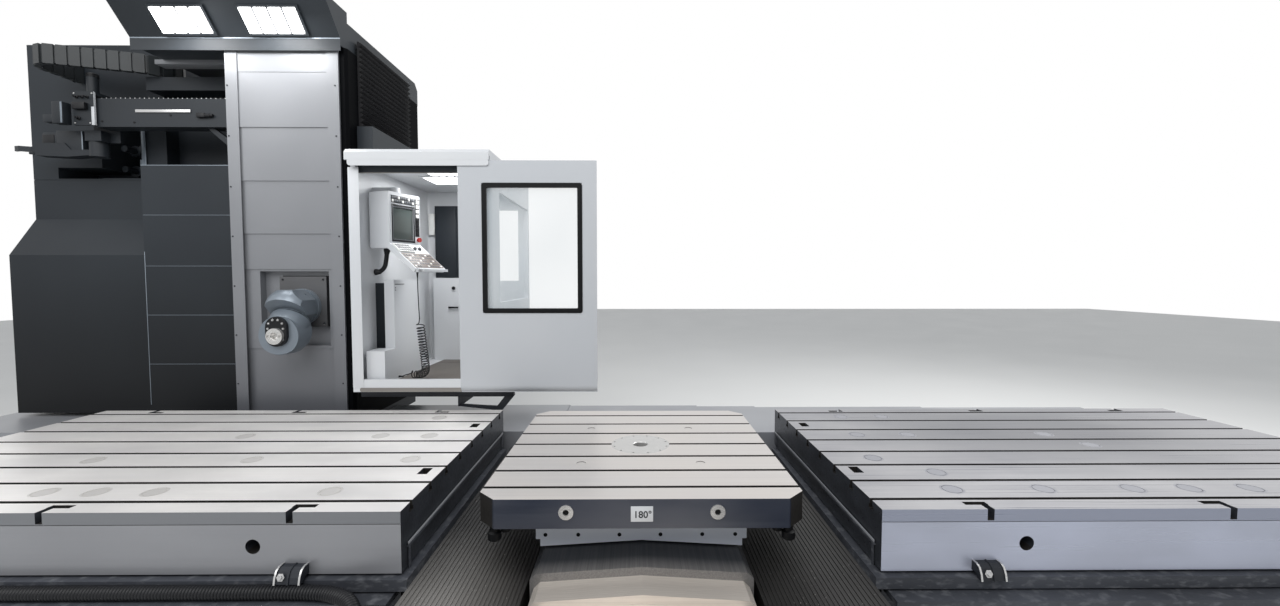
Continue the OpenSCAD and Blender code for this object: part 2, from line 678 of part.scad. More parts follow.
// front covers: level 0 is the front one
module front_cover(level, z0, z1, lip_at) {
    y = panel_y + level * panel_step;
    box([panel_x0, y, z0], [panel_x1, y + panel_t, z1]);
    if (lip_at != 0) {
        lz = lip_at > 0 ? z1 - 25 : z0;
        box([panel_x0, y + panel_t - 0.5, lz], [panel_x1, y + panel_step - gap, lz + 25]);
    }
}
module front_covers_fixed() {
    color(light_paint) {
        front_cover(0, upper_edges[0], header_z - 3, -1);
        box([panel_x0, panel_y - 2, header_z], [panel_x1, panel_y + panel_t, column_top - 6]);
        front_cover(7, lower_covers[2][0], lower_covers[2][1], 0);
    }
}
module upper_cover_1() { color(light_paint) front_cover(1, upper_edges[1], upper_edges[0] + 50, -1); }
module upper_cover_2() { color(light_paint) front_cover(2, upper_edges[2], upper_edges[1] + 50, -1); }
module head_covers() {
    color(light_paint) {
        front_cover(3, upper_edges[3], upper_edges[2] + 60, -1);
        front_cover(5, lower_covers[0][0], lower_covers[0][1], -1);
    }
}
module head_apron() {
    y = panel_y + 4 * panel_step;
    w = 6;
    depth = way_front - 60 - y;
    color(light_paint) difference() {
        union() {
            box([panel_x0, y, apron_z], [panel_x1, y + panel_t, upper_edges[3] + 50]);
            box([panel_x0, y + panel_t - 0.5, apron_z], [panel_x1, y + panel_step - gap, apron_z + 25]);
            box([opening[0] - w, y, opening[1] - w], [opening[2] + w, y + depth, opening[3] + w]);
        }
        box([opening[0], y - eps, opening[1]], [opening[2], y + depth - 10, opening[3]]);
        box([ram_x - ram_w / 2 - 8, y, ram_z - ram_h / 2 - 8], [ram_x + ram_w / 2 + 8, y + depth + 20,
            ram_z + ram_h / 2 + 8]);
    }
}
module lower_cover_2() {
    color(light_paint) front_cover(6, lower_covers[1][0], lower_covers[1][1], -1);
}
// front frame round the telescopic covers
module column_frame() {
    z0 = foot_z + 110;
    wall = 8;
    web = 10;
    color(light_paint) {
        for (side = [[column_left, column_left + stile_w, 0], [frame_right - stile_w, frame_right, 1]])
            translate([0, 0, z0]) linear_extrude(column_top - z0) difference() {
                translate([side[0], column_front]) square([stile_w, frame_deep]);
                translate([side[0] + (side[2] == 0 ? web : -eps), column_front + wall])
                    square([stile_w - web + eps, frame_deep - wall - 4]);
            }
        box([column_left, column_front, column_top - 6], [frame_right, sides_y, column_top]);
    }
}
// sheet housing round the sides and the back
module column_sides() {
    z0 = foot_z + 110;
    skin = 5;
    color(dark_paint) {
        translate([0, 0, z0]) linear_extrude(column_top - z0) difference() {
            polygon([[column_left, sides_y], [frame_right, sides_y], [frame_right, column_front + 20],
                [column_right - 20, column_front + 20], [column_right, column_front + 50],
                [column_right, column_rear - 60], [column_right - 60, column_rear],
                [column_left, column_rear]]);
            translate([column_left + skin, sides_y + 3])
                square([frame_right - column_left, column_rear - sides_y - 8]);
            translate([column_left + 12, sides_y - eps]) square([frame_right - column_left - 24, 8]);
            translate([frame_right - eps, sides_y + 3]) square([60, column_rear - sides_y - 70]);
        }
        box([column_left, sides_y, column_top - 6], [column_right, column_rear - 60, column_top]);
    }
}
// hood over the column; its front slants up from hood_low to the tip
hood_reach = 235;
hood_low = [column_front - 30, column_top + 63];
hood_tip = [column_front - 30 - hood_reach, column_top + 330];
module hood() {
    skirt = 50;
    color([0.34, 0.37, 0.39]) along_x(column_left - 822, column_right - 22) polygon([
        [hood_low.x, column_top], [hood_low.x, column_top - skirt], [hood_low.x + 6, column_top - skirt],
        [hood_low.x + 6, column_top], [column_rear, column_top], [column_rear, column_top + 180],
        [column_rear - 70, column_top + 250], [hood_low.x + 120, column_top + 250],
        [hood_low.x + 120, column_top + 347], [hood_tip.x, column_top + 347], hood_tip, hood_low]);
}
lamp_at = [[-4297, -3805], [-3522, -2982]];
module work_lamps() {
    slope = atan2(hood_tip.y - hood_low.y, hood_low.x - hood_tip.x);
    lamp_h = 250;
    lamp_t = 20;
    color([0.95, 0.96, 1]) for (p = lamp_at) translate([p[0], hood_low.x, hood_low.y])
        rotate([90 - slope, 0, 0]) translate([0, -lamp_t - gap, 0])
            difference() {
                translate([0, 0, 20]) cube([p[1] - p[0], lamp_t, lamp_h]);
                for (i = [0:3]) let (pitch = (p[1] - p[0] - 28) / 4)
                    translate([14 + i * pitch, -eps, 34]) cube([pitch - 8, 5, lamp_h - 28]);
            }
}
module left_cladding() {
    x0 = cladding_left;
    x1 = column_left - 2;
    y0 = 1500;
    header = [cladding_top + 788, cladding_top + 918];
    color(dark_paint) {
        difference() {
            box([x0, y0, foot_z + 110], [x1, column_rear - 100, cladding_top]);
            for (z = [1127, 1615, 2099, 2598]) box([x0 - eps, y0 - eps, z - 3], [x1, y0 + 5, z + 3]);
            box([x0 + 40, y0 + 60, foot_z], [x1 - 10, column_rear - 140, cladding_top - 5]);
        }
        // recessed wall and header above
        box([mag_right + gap, 2050, cladding_top - eps], [x1, 2070, header[1]]);
        box([mag_right + gap, 1700, header[0]], [x1, 2060, header[1]]);
    }
}
mouth_x = [mag_right - 680, mag_right - 270];
mouth_z = [3030, 3760];
module magazine_housing() {
    sill_z = mouth_z[0] - 22;
    pocket_z = mouth_z[0] + 130;
    color(dark_paint) difference() {
        along_x(magazine_left, mag_right) polygon([[column_rear, mag_z0], [mag_y0, mag_z0],
            [mag_y0, 2213], [mag_y1, 2600], [mag_y1, magazine_top], [column_rear, magazine_top]]);
        box([magazine_left - eps, mag_y1 - eps, sill_z], [mag_right - 240, mag_y1 + 5, sill_z + 6]);
        // mouth of the magazine
        box([mouth_x[0], mag_y1 - eps, mouth_z[0]], [mouth_x[1], 2350, mouth_z[1]]);
        // see-through corner opening and the notch beside the mouth
        translate([magazine_left, 0, magazine_top]) along_y(mag_y1 - eps, column_rear + eps)
            polygon([[180, -225], [495, -220], [485, -387]]);
        box([mouth_x[0] - 460, mag_y1 - eps, mouth_z[0] - 5], [mouth_x[0] + eps, 2300, mouth_z[0] + 110]);
    }
    // edge rails beside the mouth
    color(steel) {
        box([mouth_x[1] + 25, mag_y1 - 15, sill_z + 70], [mouth_x[1] + 65, mag_y1 + eps, mouth_z[1] - 180]);
        box([mouth_x[1] + 4, mag_y1 - 15, sill_z + 70],
            [mouth_x[1] + 25 + eps, mag_y1 + eps, sill_z + 210]);
    }
    // bracket to the cladding
    color(dark_paint) box([mag_right - eps, 2000, mag_z0 + 40],
        [cladding_left - gap, 2400, cladding_top - 82]);
    // pockets of the tool chain inside the mouth
    color(steel) for (i = [0:3]) {
        rod_y(mouth_x[0] + 80 + (i % 2) * 190, pocket_z + floor(i / 2) * 220, 2180, 2351, 60);
        rod_y(mouth_x[0] + 80 + (i % 2) * 190, pocket_z + floor(i / 2) * 220, 2060, 2181, 34);
    }
}
module changer_beam() {
    x1 = column_left - 2;
    color(dark_paint) {
        box([beam_left, beam_y, beam_z[0]], [x1, beam_y + 150, beam_z[1]]);
        // toothed rail
        for (i = [0:2:58]) box([beam_left + 20 + i * 23, beam_y + 30, beam_z[1] - eps],
            [beam_left + 32 + i * 23, beam_y + 90, beam_z[1] + 14]);
        // strut down to the cladding
        along_y(beam_y + 40, beam_y + 90) polygon([[x1 - 428, beam_z[0] + eps],
            [x1 - 368, beam_z[0] + eps], [x1 - 90, cladding_top + 158], [x1 - 90, cladding_top],
            [x1 - 150, cladding_top], [x1 - 150, cladding_top + 118]]);
    }
    color(steel) box([beam_left + 382, beam_y - 8, beam_z[0] + 137],
        [beam_left + 912, beam_y + eps, beam_z[0] + 164]);
}
// the changer carriage wraps round the beam: a plate in front, a drive on top, a slide behind
module changer_carriage() {
    x0 = pivot.x - 60;
    x1 = pivot.x + 140;
    y0 = beam_y - 30;
    y1 = beam_y + 180;
    top = beam_z[1] + 26;
    color([0.45, 0.48, 0.52]) {
        box([x0, y0, beam_z[0] + 6], [x1, y0 + 18, top + 30]);
        box([x0, y0, top], [x1, y1, top + 30]);
        box([x0, beam_y + 150 + gap, arm_top], [x1 + 60, y1, top + 30]);
        box([x0, beam_y + 60, arm_top], [x0 + 160, y1, beam_z[0] - 18]);
        // drive motor with its flange
        translate([pivot.x + 30, beam_y + 75, top + 30 - eps]) cylinder(14 + eps, r = 58);
        translate([pivot.x + 30, beam_y + 75, top + 30]) cylinder(170, r = 44);
    }
}
module changer_arm() {
    color(dark_paint) {
        translate([pivot.x, pivot.y, arm_z - 70]) cylinder(arm_top - arm_z + 70 - gap, r = 75);
        along_y(pivot.y - 55, pivot.y + 55) polygon([[pivot.x, arm_z - 55], [pivot.x, arm_z - 5],
            [pivot.x - 230, arm_z - 5], [pivot.x - 290, arm_z + 60], [pivot.x - 560, arm_z + 60],
            [pivot.x - arm_reach, arm_z + 40], [pivot.x - arm_reach, arm_z - 60],
            [pivot.x - 270, arm_z - 75]]);
    }
    color(steel) for (s = [-1, 1]) gripper_jaw(s);
}
module gripper_jaw(side) {
    x = pivot.x - arm_reach;
    translate([0, 0, arm_z - 25]) linear_extrude(50) polygon([for (p = [[-eps, 12], [60, 20], [130, 60],
        [180, 48], [185, 66], [130, 82], [50, 50], [-eps, 50]]) [x - p.x, pivot.y + side * p.y]]);
}
// energy chain on edge: out of the magazine, round a bend, along in front and round to the header
chain_h = 182;
chain_z = cladding_top + 924;
chain_x0 = mag_right - 840;
chain_out = mag_y1 - gap - 1575;
chain_r1 = 170;
chain_lean = 17;
chain_run = 654;
chain_r2 = 240;
chain_end = 130;
chain_ways = [chain_out, chain_r1 * (90 + chain_lean) * PI / 180, chain_run,
    chain_r2 * (chain_end - chain_lean) * PI / 180];
// a point of an arc from p with radius r, turning left from heading h0 to h
function turned(p, r, h0, h) = [p.x + r * (sin(h) - sin(h0)), p.y + r * (cos(h0) - cos(h)), h];
chain_a = [chain_x0, mag_y1 - gap - chain_out];
chain_b = turned(chain_a, chain_r1, -90, chain_lean);
chain_c = [chain_b.x + chain_run * cos(chain_lean), chain_b.y + chain_run * sin(chain_lean)];
// place and heading of the chain after a way s
function chain_at(s) = let (s1 = s - chain_ways[0], s2 = s1 - chain_ways[1], s3 = s2 - chain_ways[2])
    s1 < 0 ? [chain_x0, mag_y1 - gap - s, -90] :
    s2 < 0 ? turned(chain_a, chain_r1, -90, -90 + s1 / chain_r1 * 180 / PI) :
    s3 < 0 ? [chain_b.x + s2 * cos(chain_lean), chain_b.y + s2 * sin(chain_lean), chain_lean] :
    turned(chain_c, chain_r2, chain_lean, chain_lean + s3 / chain_r2 * 180 / PI);
module energy_chain() {
    total = chain_ways * [1, 1, 1, 1];
    step = total / chain_links;
    fine = chain_links * 3;
    ribbon = 16;
    side = 25;
    link_gap = 18;
    last = chain_at(total - step / 2);
    places = [for (i = [0:fine]) chain_at(i * total / fine)];
    color(black) {
        translate([0, 0, chain_z + 10]) linear_extrude(chain_h - 20) polygon(concat(
            [for (p = places) [p.x + ribbon * sin(p.z), p.y - ribbon * cos(p.z)]],
            reversed([for (p = places) [p.x - ribbon * sin(p.z), p.y + ribbon * cos(p.z)]])));
        for (i = [0:chain_links - 1]) let (p = chain_at((i + 0.5) * step))
            translate([p.x, p.y, chain_z]) rotate(p.z) translate([(link_gap - step) / 2, -side, 0])
                cube([step - link_gap, 2 * side, chain_h]);
        // end bracket on the cladding's header
        box([last.x - 30, last.y - 30, chain_z - 6], [last.x + 30, last.y + 30, chain_z + 20]);
    }
}

// Cabin
module side_bellows() {
    n = 17;
    y0 = 1440;
    y1 = 2490;
    root = 14;
    tip = 50;
    pitch = (bellows_z1 - bellows_z0) / n;
    color(black) translate([0, y1, 0]) rotate([90, 0, 0]) linear_extrude(y1 - y0)
        polygon(concat([[column_right, bellows_z0], [column_right, bellows_z1]],
            [for (i = [n - 1:-1:0], k = [1, 0]) [column_right + (k == 1 ? root : tip),
            bellows_z0 + (i + (k == 1 ? 1 : 0.5)) * pitch]], [[column_right + root, bellows_z0]]));
}
module cabin_carriage() {
    color(light_paint) {
        difference() {
            box([lift_x0, 1400, cabin_z], [lift_x1, 2500, bellows_z0 - gap]);
            box([lift_x0 + 60, 1390, cabin_z + 200], [lift_x1 + eps, 2510, cabin_top - 400]);
        }
        for (y = [1460, 2380])
            box([column_right + gap, y, cabin_z + 100], [lift_x0 + eps, y + 60, bellows_z0 - 60]);
    }
}
mat_z = cabin_z + floor_t - 6;
module cabin_base() {
    color(white_paint) difference() {
        box([cabin_left, cabin_front, cabin_z], [cabin_right, cabin_rear, cabin_z + floor_t]);
        box([cabin_left + 90, cabin_front + 60, mat_z], [cabin_right - 90, cabin_rear - 90,
            cabin_z + floor_t + eps]);
    }
}
doorway_x = [cabin_left + 66, cabin_right - 116];
// guide rail inside over the doorway and the bright sill in front of the threshold
module door_rails() {
    z1 = cabin_top - roof_t;
    color(steel) {
        box([doorway_x[0], cabin_front + cabin_wall + 2, z1 - 95], [doorway_x[1],
            cabin_front + cabin_wall + 14, z1]);
        along_y(door_y + door_t + 0.5, cabin_front) translate([cabin_left + 60, cabin_z + 2])
            rounded_rect(cabin_w - 180, 36, 14);
    }
}
module cabin_plan(r, inset) {
    translate([cabin_left + inset, cabin_front + inset])
        rounded_rect(cabin_w - 2 * inset, cabin_deep - 2 * inset, r);
}
module cabin_shell() {
    z0 = cabin_z + floor_t;
    side_window = [[cabin_front + 280, 1750], [cabin_front + 1530, 2780]];
    rear_window = [[cabin_left + 520, 1950], [cabin_right - 130, 2790]];
    color(white_paint) {
        difference() {
            translate([0, 0, z0]) linear_extrude(cabin_top - roof_t - z0) difference() {
                cabin_plan(60, 0);
                cabin_plan(30, cabin_wall);
            }
            // doorway
            box([doorway_x[0], cabin_front - eps, z0 + 50], [doorway_x[1], cabin_front + 90,
                cabin_top - roof_t - 10]);
            box([cabin_right - 90, side_window[0].x, side_window[0].y],
                [cabin_right + eps, side_window[1].x, side_window[1].y]);
            box([rear_window[0].x, cabin_rear - 90, rear_window[0].y],
                [rear_window[1].x, cabin_rear + eps, rear_window[1].y]);
        }
        // roof with a lip over the door
        difference() {
            union() {
                translate([0, 0, cabin_top - roof_t]) linear_extrude(roof_t) cabin_plan(60, 0);
                along_x(cabin_left, cabin_right) polygon([[cabin_front + 60, cabin_top - roof_t],
                    [door_y - 12, cabin_top - roof_t], [door_y - 12, cabin_top - 30],
                    [door_y + 16, cabin_top], [cabin_front + 60, cabin_top]]);
            }
            // door track in the lip
            box([cabin_left - eps, track_y[0], cabin_top - roof_t - eps],
                [cabin_right + eps, track_y[1], cabin_top - roof_t + 40]);
        }
    }
}
module cabin_door() {
    w = door_win;
    z1 = cabin_top - roof_t - 2;
    color(white_paint) {
        difference() {
            union() {
                box([door_x, door_y, door_z0 + 60], [door_x + door_w, door_y + door_t, z1]);
                // rounded foot of the door
                along_x(door_x, door_x + door_w) intersection() {
                    translate([door_y, door_z0]) square([door_t, 62]);
                    union() {
                        translate([door_y + 60, door_z0 + 60]) circle(60);
                        translate([door_y + 30, door_z0]) square([door_t, 60]);
                    }
                }
            }
            box([door_x + w[0], door_y - eps, cabin_z + w[1]], [door_x + w[2], door_y + door_t + eps,
                cabin_z + w[3]]);
        }
        // hangers in the roof's track
        for (x = [20, 190]) box([door_x + x, track_y[0] + gap, z1 - eps],
            [door_x + x + 60, track_y[1] - gap, cabin_top - roof_t + 40 - gap]);
    }
}
module door_glass() {
    rim = 35;
    low = [door_x + door_win[0], cabin_z + door_win[1]];
    high = [door_x + door_win[2], cabin_z + door_win[3]];
    color([0.7, 0.85, 0.9, 0.4]) difference() {
        box([low.x, door_y + 10, low.y], [high.x, door_y + 30, high.y]);
        for (y = [door_y + 9, door_y + 24])
            box([low.x + rim, y, low.y + rim], [high.x - rim, y + 6 + eps, high.y - rim]);
    }
}
// control panel: a deep housing on a hub, with a steep key desk, in its own frame facing -Y
panel_at = [-2269, 1094, 2301];
panel_turn = 70;
panel_w = 380;
panel_h = 468;
panel_deep = 225;
desk_reach = 300;
desk_drop = 237;
panel_hub = [190, 110];
hub_h = 10;
stop_stem_d = 22;
stop_at = [panel_w - 37, 46];
module in_panel() {
    translate(panel_at) rotate(panel_turn) children();
}
module control_panel() {
    desk_t = 31;
    belly = -45;
    color(white_paint) in_panel() difference() {
        union() {
            rotate([90, 0, 90]) linear_extrude(panel_w) polygon([[0, 0], [-desk_reach, -desk_drop],
                [25 - desk_reach, -desk_drop - desk_t], [25, belly], [panel_deep - 12, belly],
                [panel_deep, belly + 12], [panel_deep, panel_h], [0, panel_h]]);
            // screen frame and key strips beside and above it
            box([28, -6, 14], [308, eps, 358]);
            box([316, -4, 10], [panel_w - 8, eps, panel_h - 28]);
            box([28, -4, 368], [308, eps, panel_h - 28]);
            // wrist rail along the desk's front edge
            box([70, -desk_reach - 22, -desk_drop - 25], [panel_w + 6, 4 - desk_reach, -desk_drop - 1]);
            // gland of the curly cord under the desk
            translate([cord_out.x, cord_out.y, -desk_drop - desk_t + 0.2]) cylinder(36, r = 10);
            translate([panel_hub.x, panel_hub.y, panel_h - eps]) cylinder(hub_h + eps, r = 45);
        }
        box([48, -6 - eps, 40], [292, 6, 330]);
        translate([stop_at.x, 30, stop_at.y]) rotate([90, 0, 0]) cylinder(60, d = stop_stem_d + 0.1);
    }
}
module emergency_stop() {
    head_y = -20;
    color([0.75, 0.1, 0.08]) in_panel() translate([stop_at.x, 0, stop_at.y]) {
        rod_y(0, 0, head_y - eps, 6, stop_stem_d / 2);
        rod_y(0, 0, head_y - 16, head_y, stop_stem_d);
    }
}
// arm from the cabin's left wall over the panel's hub
panel_pivot = [panel_at.x + panel_hub.x * cos(panel_turn) - panel_hub.y * sin(panel_turn),
    panel_at.y + panel_hub.x * sin(panel_turn) + panel_hub.y * cos(panel_turn)];
module panel_arm() {
    z0 = panel_at.z + panel_h + hub_h + gap;
    arm_h = 50;
    color(white_paint) {
        box([cabin_left + cabin_wall, panel_pivot.y - 32, z0],
            [panel_pivot.x, panel_pivot.y + 32, z0 + arm_h]);
        translate([panel_pivot.x, panel_pivot.y, z0]) cylinder(arm_h, r = 46);
    }
}
console_x = [cabin_left + 157, cabin_left + 247];
console_y = [cabin_front + 280, cabin_front + 850];
cabinet_x = [cabin_left + 147, cabin_left + 647];
cabinet_y0 = cabin_rear - 180;
cabinet_top = mat_z + 964;
module console_cabinet() {
    color(white_paint) {
        box([console_x[0], console_y[0], mat_z], [console_x[1], console_y[1], mat_z + 946]);
        // low box beside the doorway
        box([cabin_left + 91, cabin_front + 60.5, mat_z],
            [console_x[1] + 8, console_y[0] - 5, mat_z + 302]);
        // cabinet at the rear wall
        box([cabinet_x[0], cabinet_y0, mat_z], [cabinet_x[1], cabin_rear - 90.5, cabinet_top]);
    }
}
// dark cabinet on the rear one, and the cover between the wall and the console
module dark_cabinets() {
    color(dark_paint) {
        box([cabinet_x[0], cabin_rear - 100, cabinet_top],
            [cabinet_x[1], cabin_rear - cabin_wall, cabinet_top + 846]);
        box([cabin_left + cabin_wall, console_y[0] + 70, mat_z + 264],
            [console_x[0], console_y[0] + 80, mat_z + 914]);
    }
}
// curly cord from the panel's desk down to the console, its coil as one fat tube
cord_out = [20.4, -295.9];
coil_r = 31;
wire_r = 6;
curly_pts = [[-1984, 1012, 2033], [-1984, 1013, 1900], [-1983, 1020, 1750], [-1982, 1032, 1610],
    [-1982, 1033, 1604], [-1981, 1070, 1450], [-1982, 1110, 1300], [-1990, 1160, 1180],
    [-2010, 1205, 1105], [-2050, 1240, 1066], [-2110, 1262, 1052], [-2170, 1275, 1051],
    [-2225, 1285, 1051], [-2229, 1286, 1049], [-2255, 1290, 1042], [-2275, 1292, 1040],
    [console_x[1] + 0.2, 1292, 1040]];
coil_span = [4, 12];
module curly_cord() {
    color(black) sweep_tube(curly_pts, [for (i = [0:len(curly_pts) - 1])
        i >= coil_span[0] && i <= coil_span[1] ? coil_r : wire_r], 10);
}

x_bed();
bed_end_covers();
slide_bed();
slide_end_covers();
left_floor_plate();
right_floor_plate();
plate_plinths();
clamp_brackets();
trough_covers();
anchor_caps();
cable_conduit();
column();
column_frame();
column_sides();
column_bed_covers();
front_covers_fixed();
hood();
work_lamps();
left_cladding();
magazine_housing();
changer_beam();
energy_chain();
side_bellows();
right_cover_2();
right_cover_3();
right_cover_4();
left_cover_2();
left_cover_3();
head_carriage();
head_apron();
head_covers();
upper_cover_1();
upper_cover_2();
lower_cover_2();
ram();
head_swivel();
head_tilt();
spindle_nose();
changer_carriage();
changer_arm();
cabin_carriage();
cabin_base();
cabin_shell();
cabin_door();
door_glass();
door_rails();
control_panel();
emergency_stop();
panel_arm();
console_cabinet();
dark_cabinets();
curly_cord();
table_saddle();
saddle_covers();
slide_cover_2();
slide_cover_3();
rear_cover_2();
rotary_table();
table_disc();
ring_plugs();
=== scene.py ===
"""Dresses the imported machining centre: finishes, small parts, light and camera.

Everything is in metres in the frame of the solids: +X runs along the bed, +Y from the viewer to the
column, +Z up, with the origin on the pit floor below the rotary table's axis.
"""

import logging
import math
from dataclasses import dataclass
from enum import Enum
from typing import Iterable, Sequence

import bmesh
import bpy
from mathutils import Matrix, Vector


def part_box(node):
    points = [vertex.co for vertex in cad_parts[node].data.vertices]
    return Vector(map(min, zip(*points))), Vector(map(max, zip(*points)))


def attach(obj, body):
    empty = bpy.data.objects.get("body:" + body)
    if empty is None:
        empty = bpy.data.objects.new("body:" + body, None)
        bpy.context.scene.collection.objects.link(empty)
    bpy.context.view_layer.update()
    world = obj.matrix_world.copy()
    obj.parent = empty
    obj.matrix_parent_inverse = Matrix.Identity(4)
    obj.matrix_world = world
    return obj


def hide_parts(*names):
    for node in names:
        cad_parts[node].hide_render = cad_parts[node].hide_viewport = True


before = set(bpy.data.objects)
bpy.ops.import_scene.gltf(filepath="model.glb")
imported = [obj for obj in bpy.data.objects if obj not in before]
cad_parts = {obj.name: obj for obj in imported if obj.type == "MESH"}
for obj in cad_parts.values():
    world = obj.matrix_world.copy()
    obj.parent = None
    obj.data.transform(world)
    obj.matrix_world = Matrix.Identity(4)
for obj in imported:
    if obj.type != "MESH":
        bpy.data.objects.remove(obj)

log = logging.getLogger("machining_centre")
Point = tuple[float, float, float]
Pair = tuple[float, float]
Socket = bpy.types.NodeSocket
MM = 0.001
FRONT = (0.0, -1.0, 0.0)
UP = (0.0, 0.0, 1.0)
# A face counts as level, or as one across X, when its normal's share is larger than this
LEVEL_SHARE = 0.6
ACROSS_SHARE = 0.8
# The values of a noise's dark and bright sides
NOISE_ENDS = (0.3, 0.7)


class Body(Enum):
    """The moving bodies that a piece can ride on."""

    BED = "bed"
    COLUMN = "column"
    HEAD = "head"
    RAM = "ram"
    SWIVEL = "swivel"
    TILT = "tilt"
    SPINDLE = "spindle"
    CHANGER = "changer"
    ARM = "arm"
    CABIN = "cabin"
    DOOR = "door"
    PANEL = "panel"
    STOP_BUTTON = "stop_button"
    TABLE_SLIDE = "table_slide"
    TABLE = "table"


class Axis(Enum):
    """An axis of the frame, with its place in a point."""

    X = 0
    Y = 1
    Z = 2


# Materials


def linear(colour: str) -> tuple[float, float, float, float]:
    """Turns an sRGB hex colour into linear values.

    Args:
        colour: the colour as "#RRGGBB".

    Returns:
        Red, green, blue and alpha in linear light.
    """
    parts = [int(colour[i : i + 2], 16) / 255 for i in (1, 3, 5)]
    lin = [p / 12.92 if p <= 0.04045 else ((p + 0.055) / 1.055) ** 2.4 for p in parts]
    return (lin[0], lin[1], lin[2], 1.0)


def add_node(tree: bpy.types.NodeTree, kind: str, settings: dict | None = None,
             links: dict | None = None) -> bpy.types.Node:
    """Adds a node with its settings and links.

    Args:
        tree: the material's node tree.
        kind: the node's type name.
        settings: values by attribute name, or by input name or number.
        links: output sockets by the input name or number that they feed.

    Returns:
        The new node.
    """
    node = tree.nodes.new(kind)
    for key, value in (settings or {}).items():
        if isinstance(key, str) and hasattr(node, key):
            setattr(node, key, value)
        else:
            node.inputs[key].default_value = value
    for key, socket in (links or {}).items():
        tree.links.new(socket, node.inputs[key])
    return node


def in_space(pair: Pair, axis: Axis, at: float) -> Point:
    """Puts a point of an outline into space.

    Args:
        pair: the point in the plane across the axis, in the order of the two other axes.
        axis: the axis.
        at: where along the axis the plane lies.

    Returns:
        The point.
    """
    both = list(pair)
    both.insert(axis.value, at)
    return (both[0], both[1], both[2])


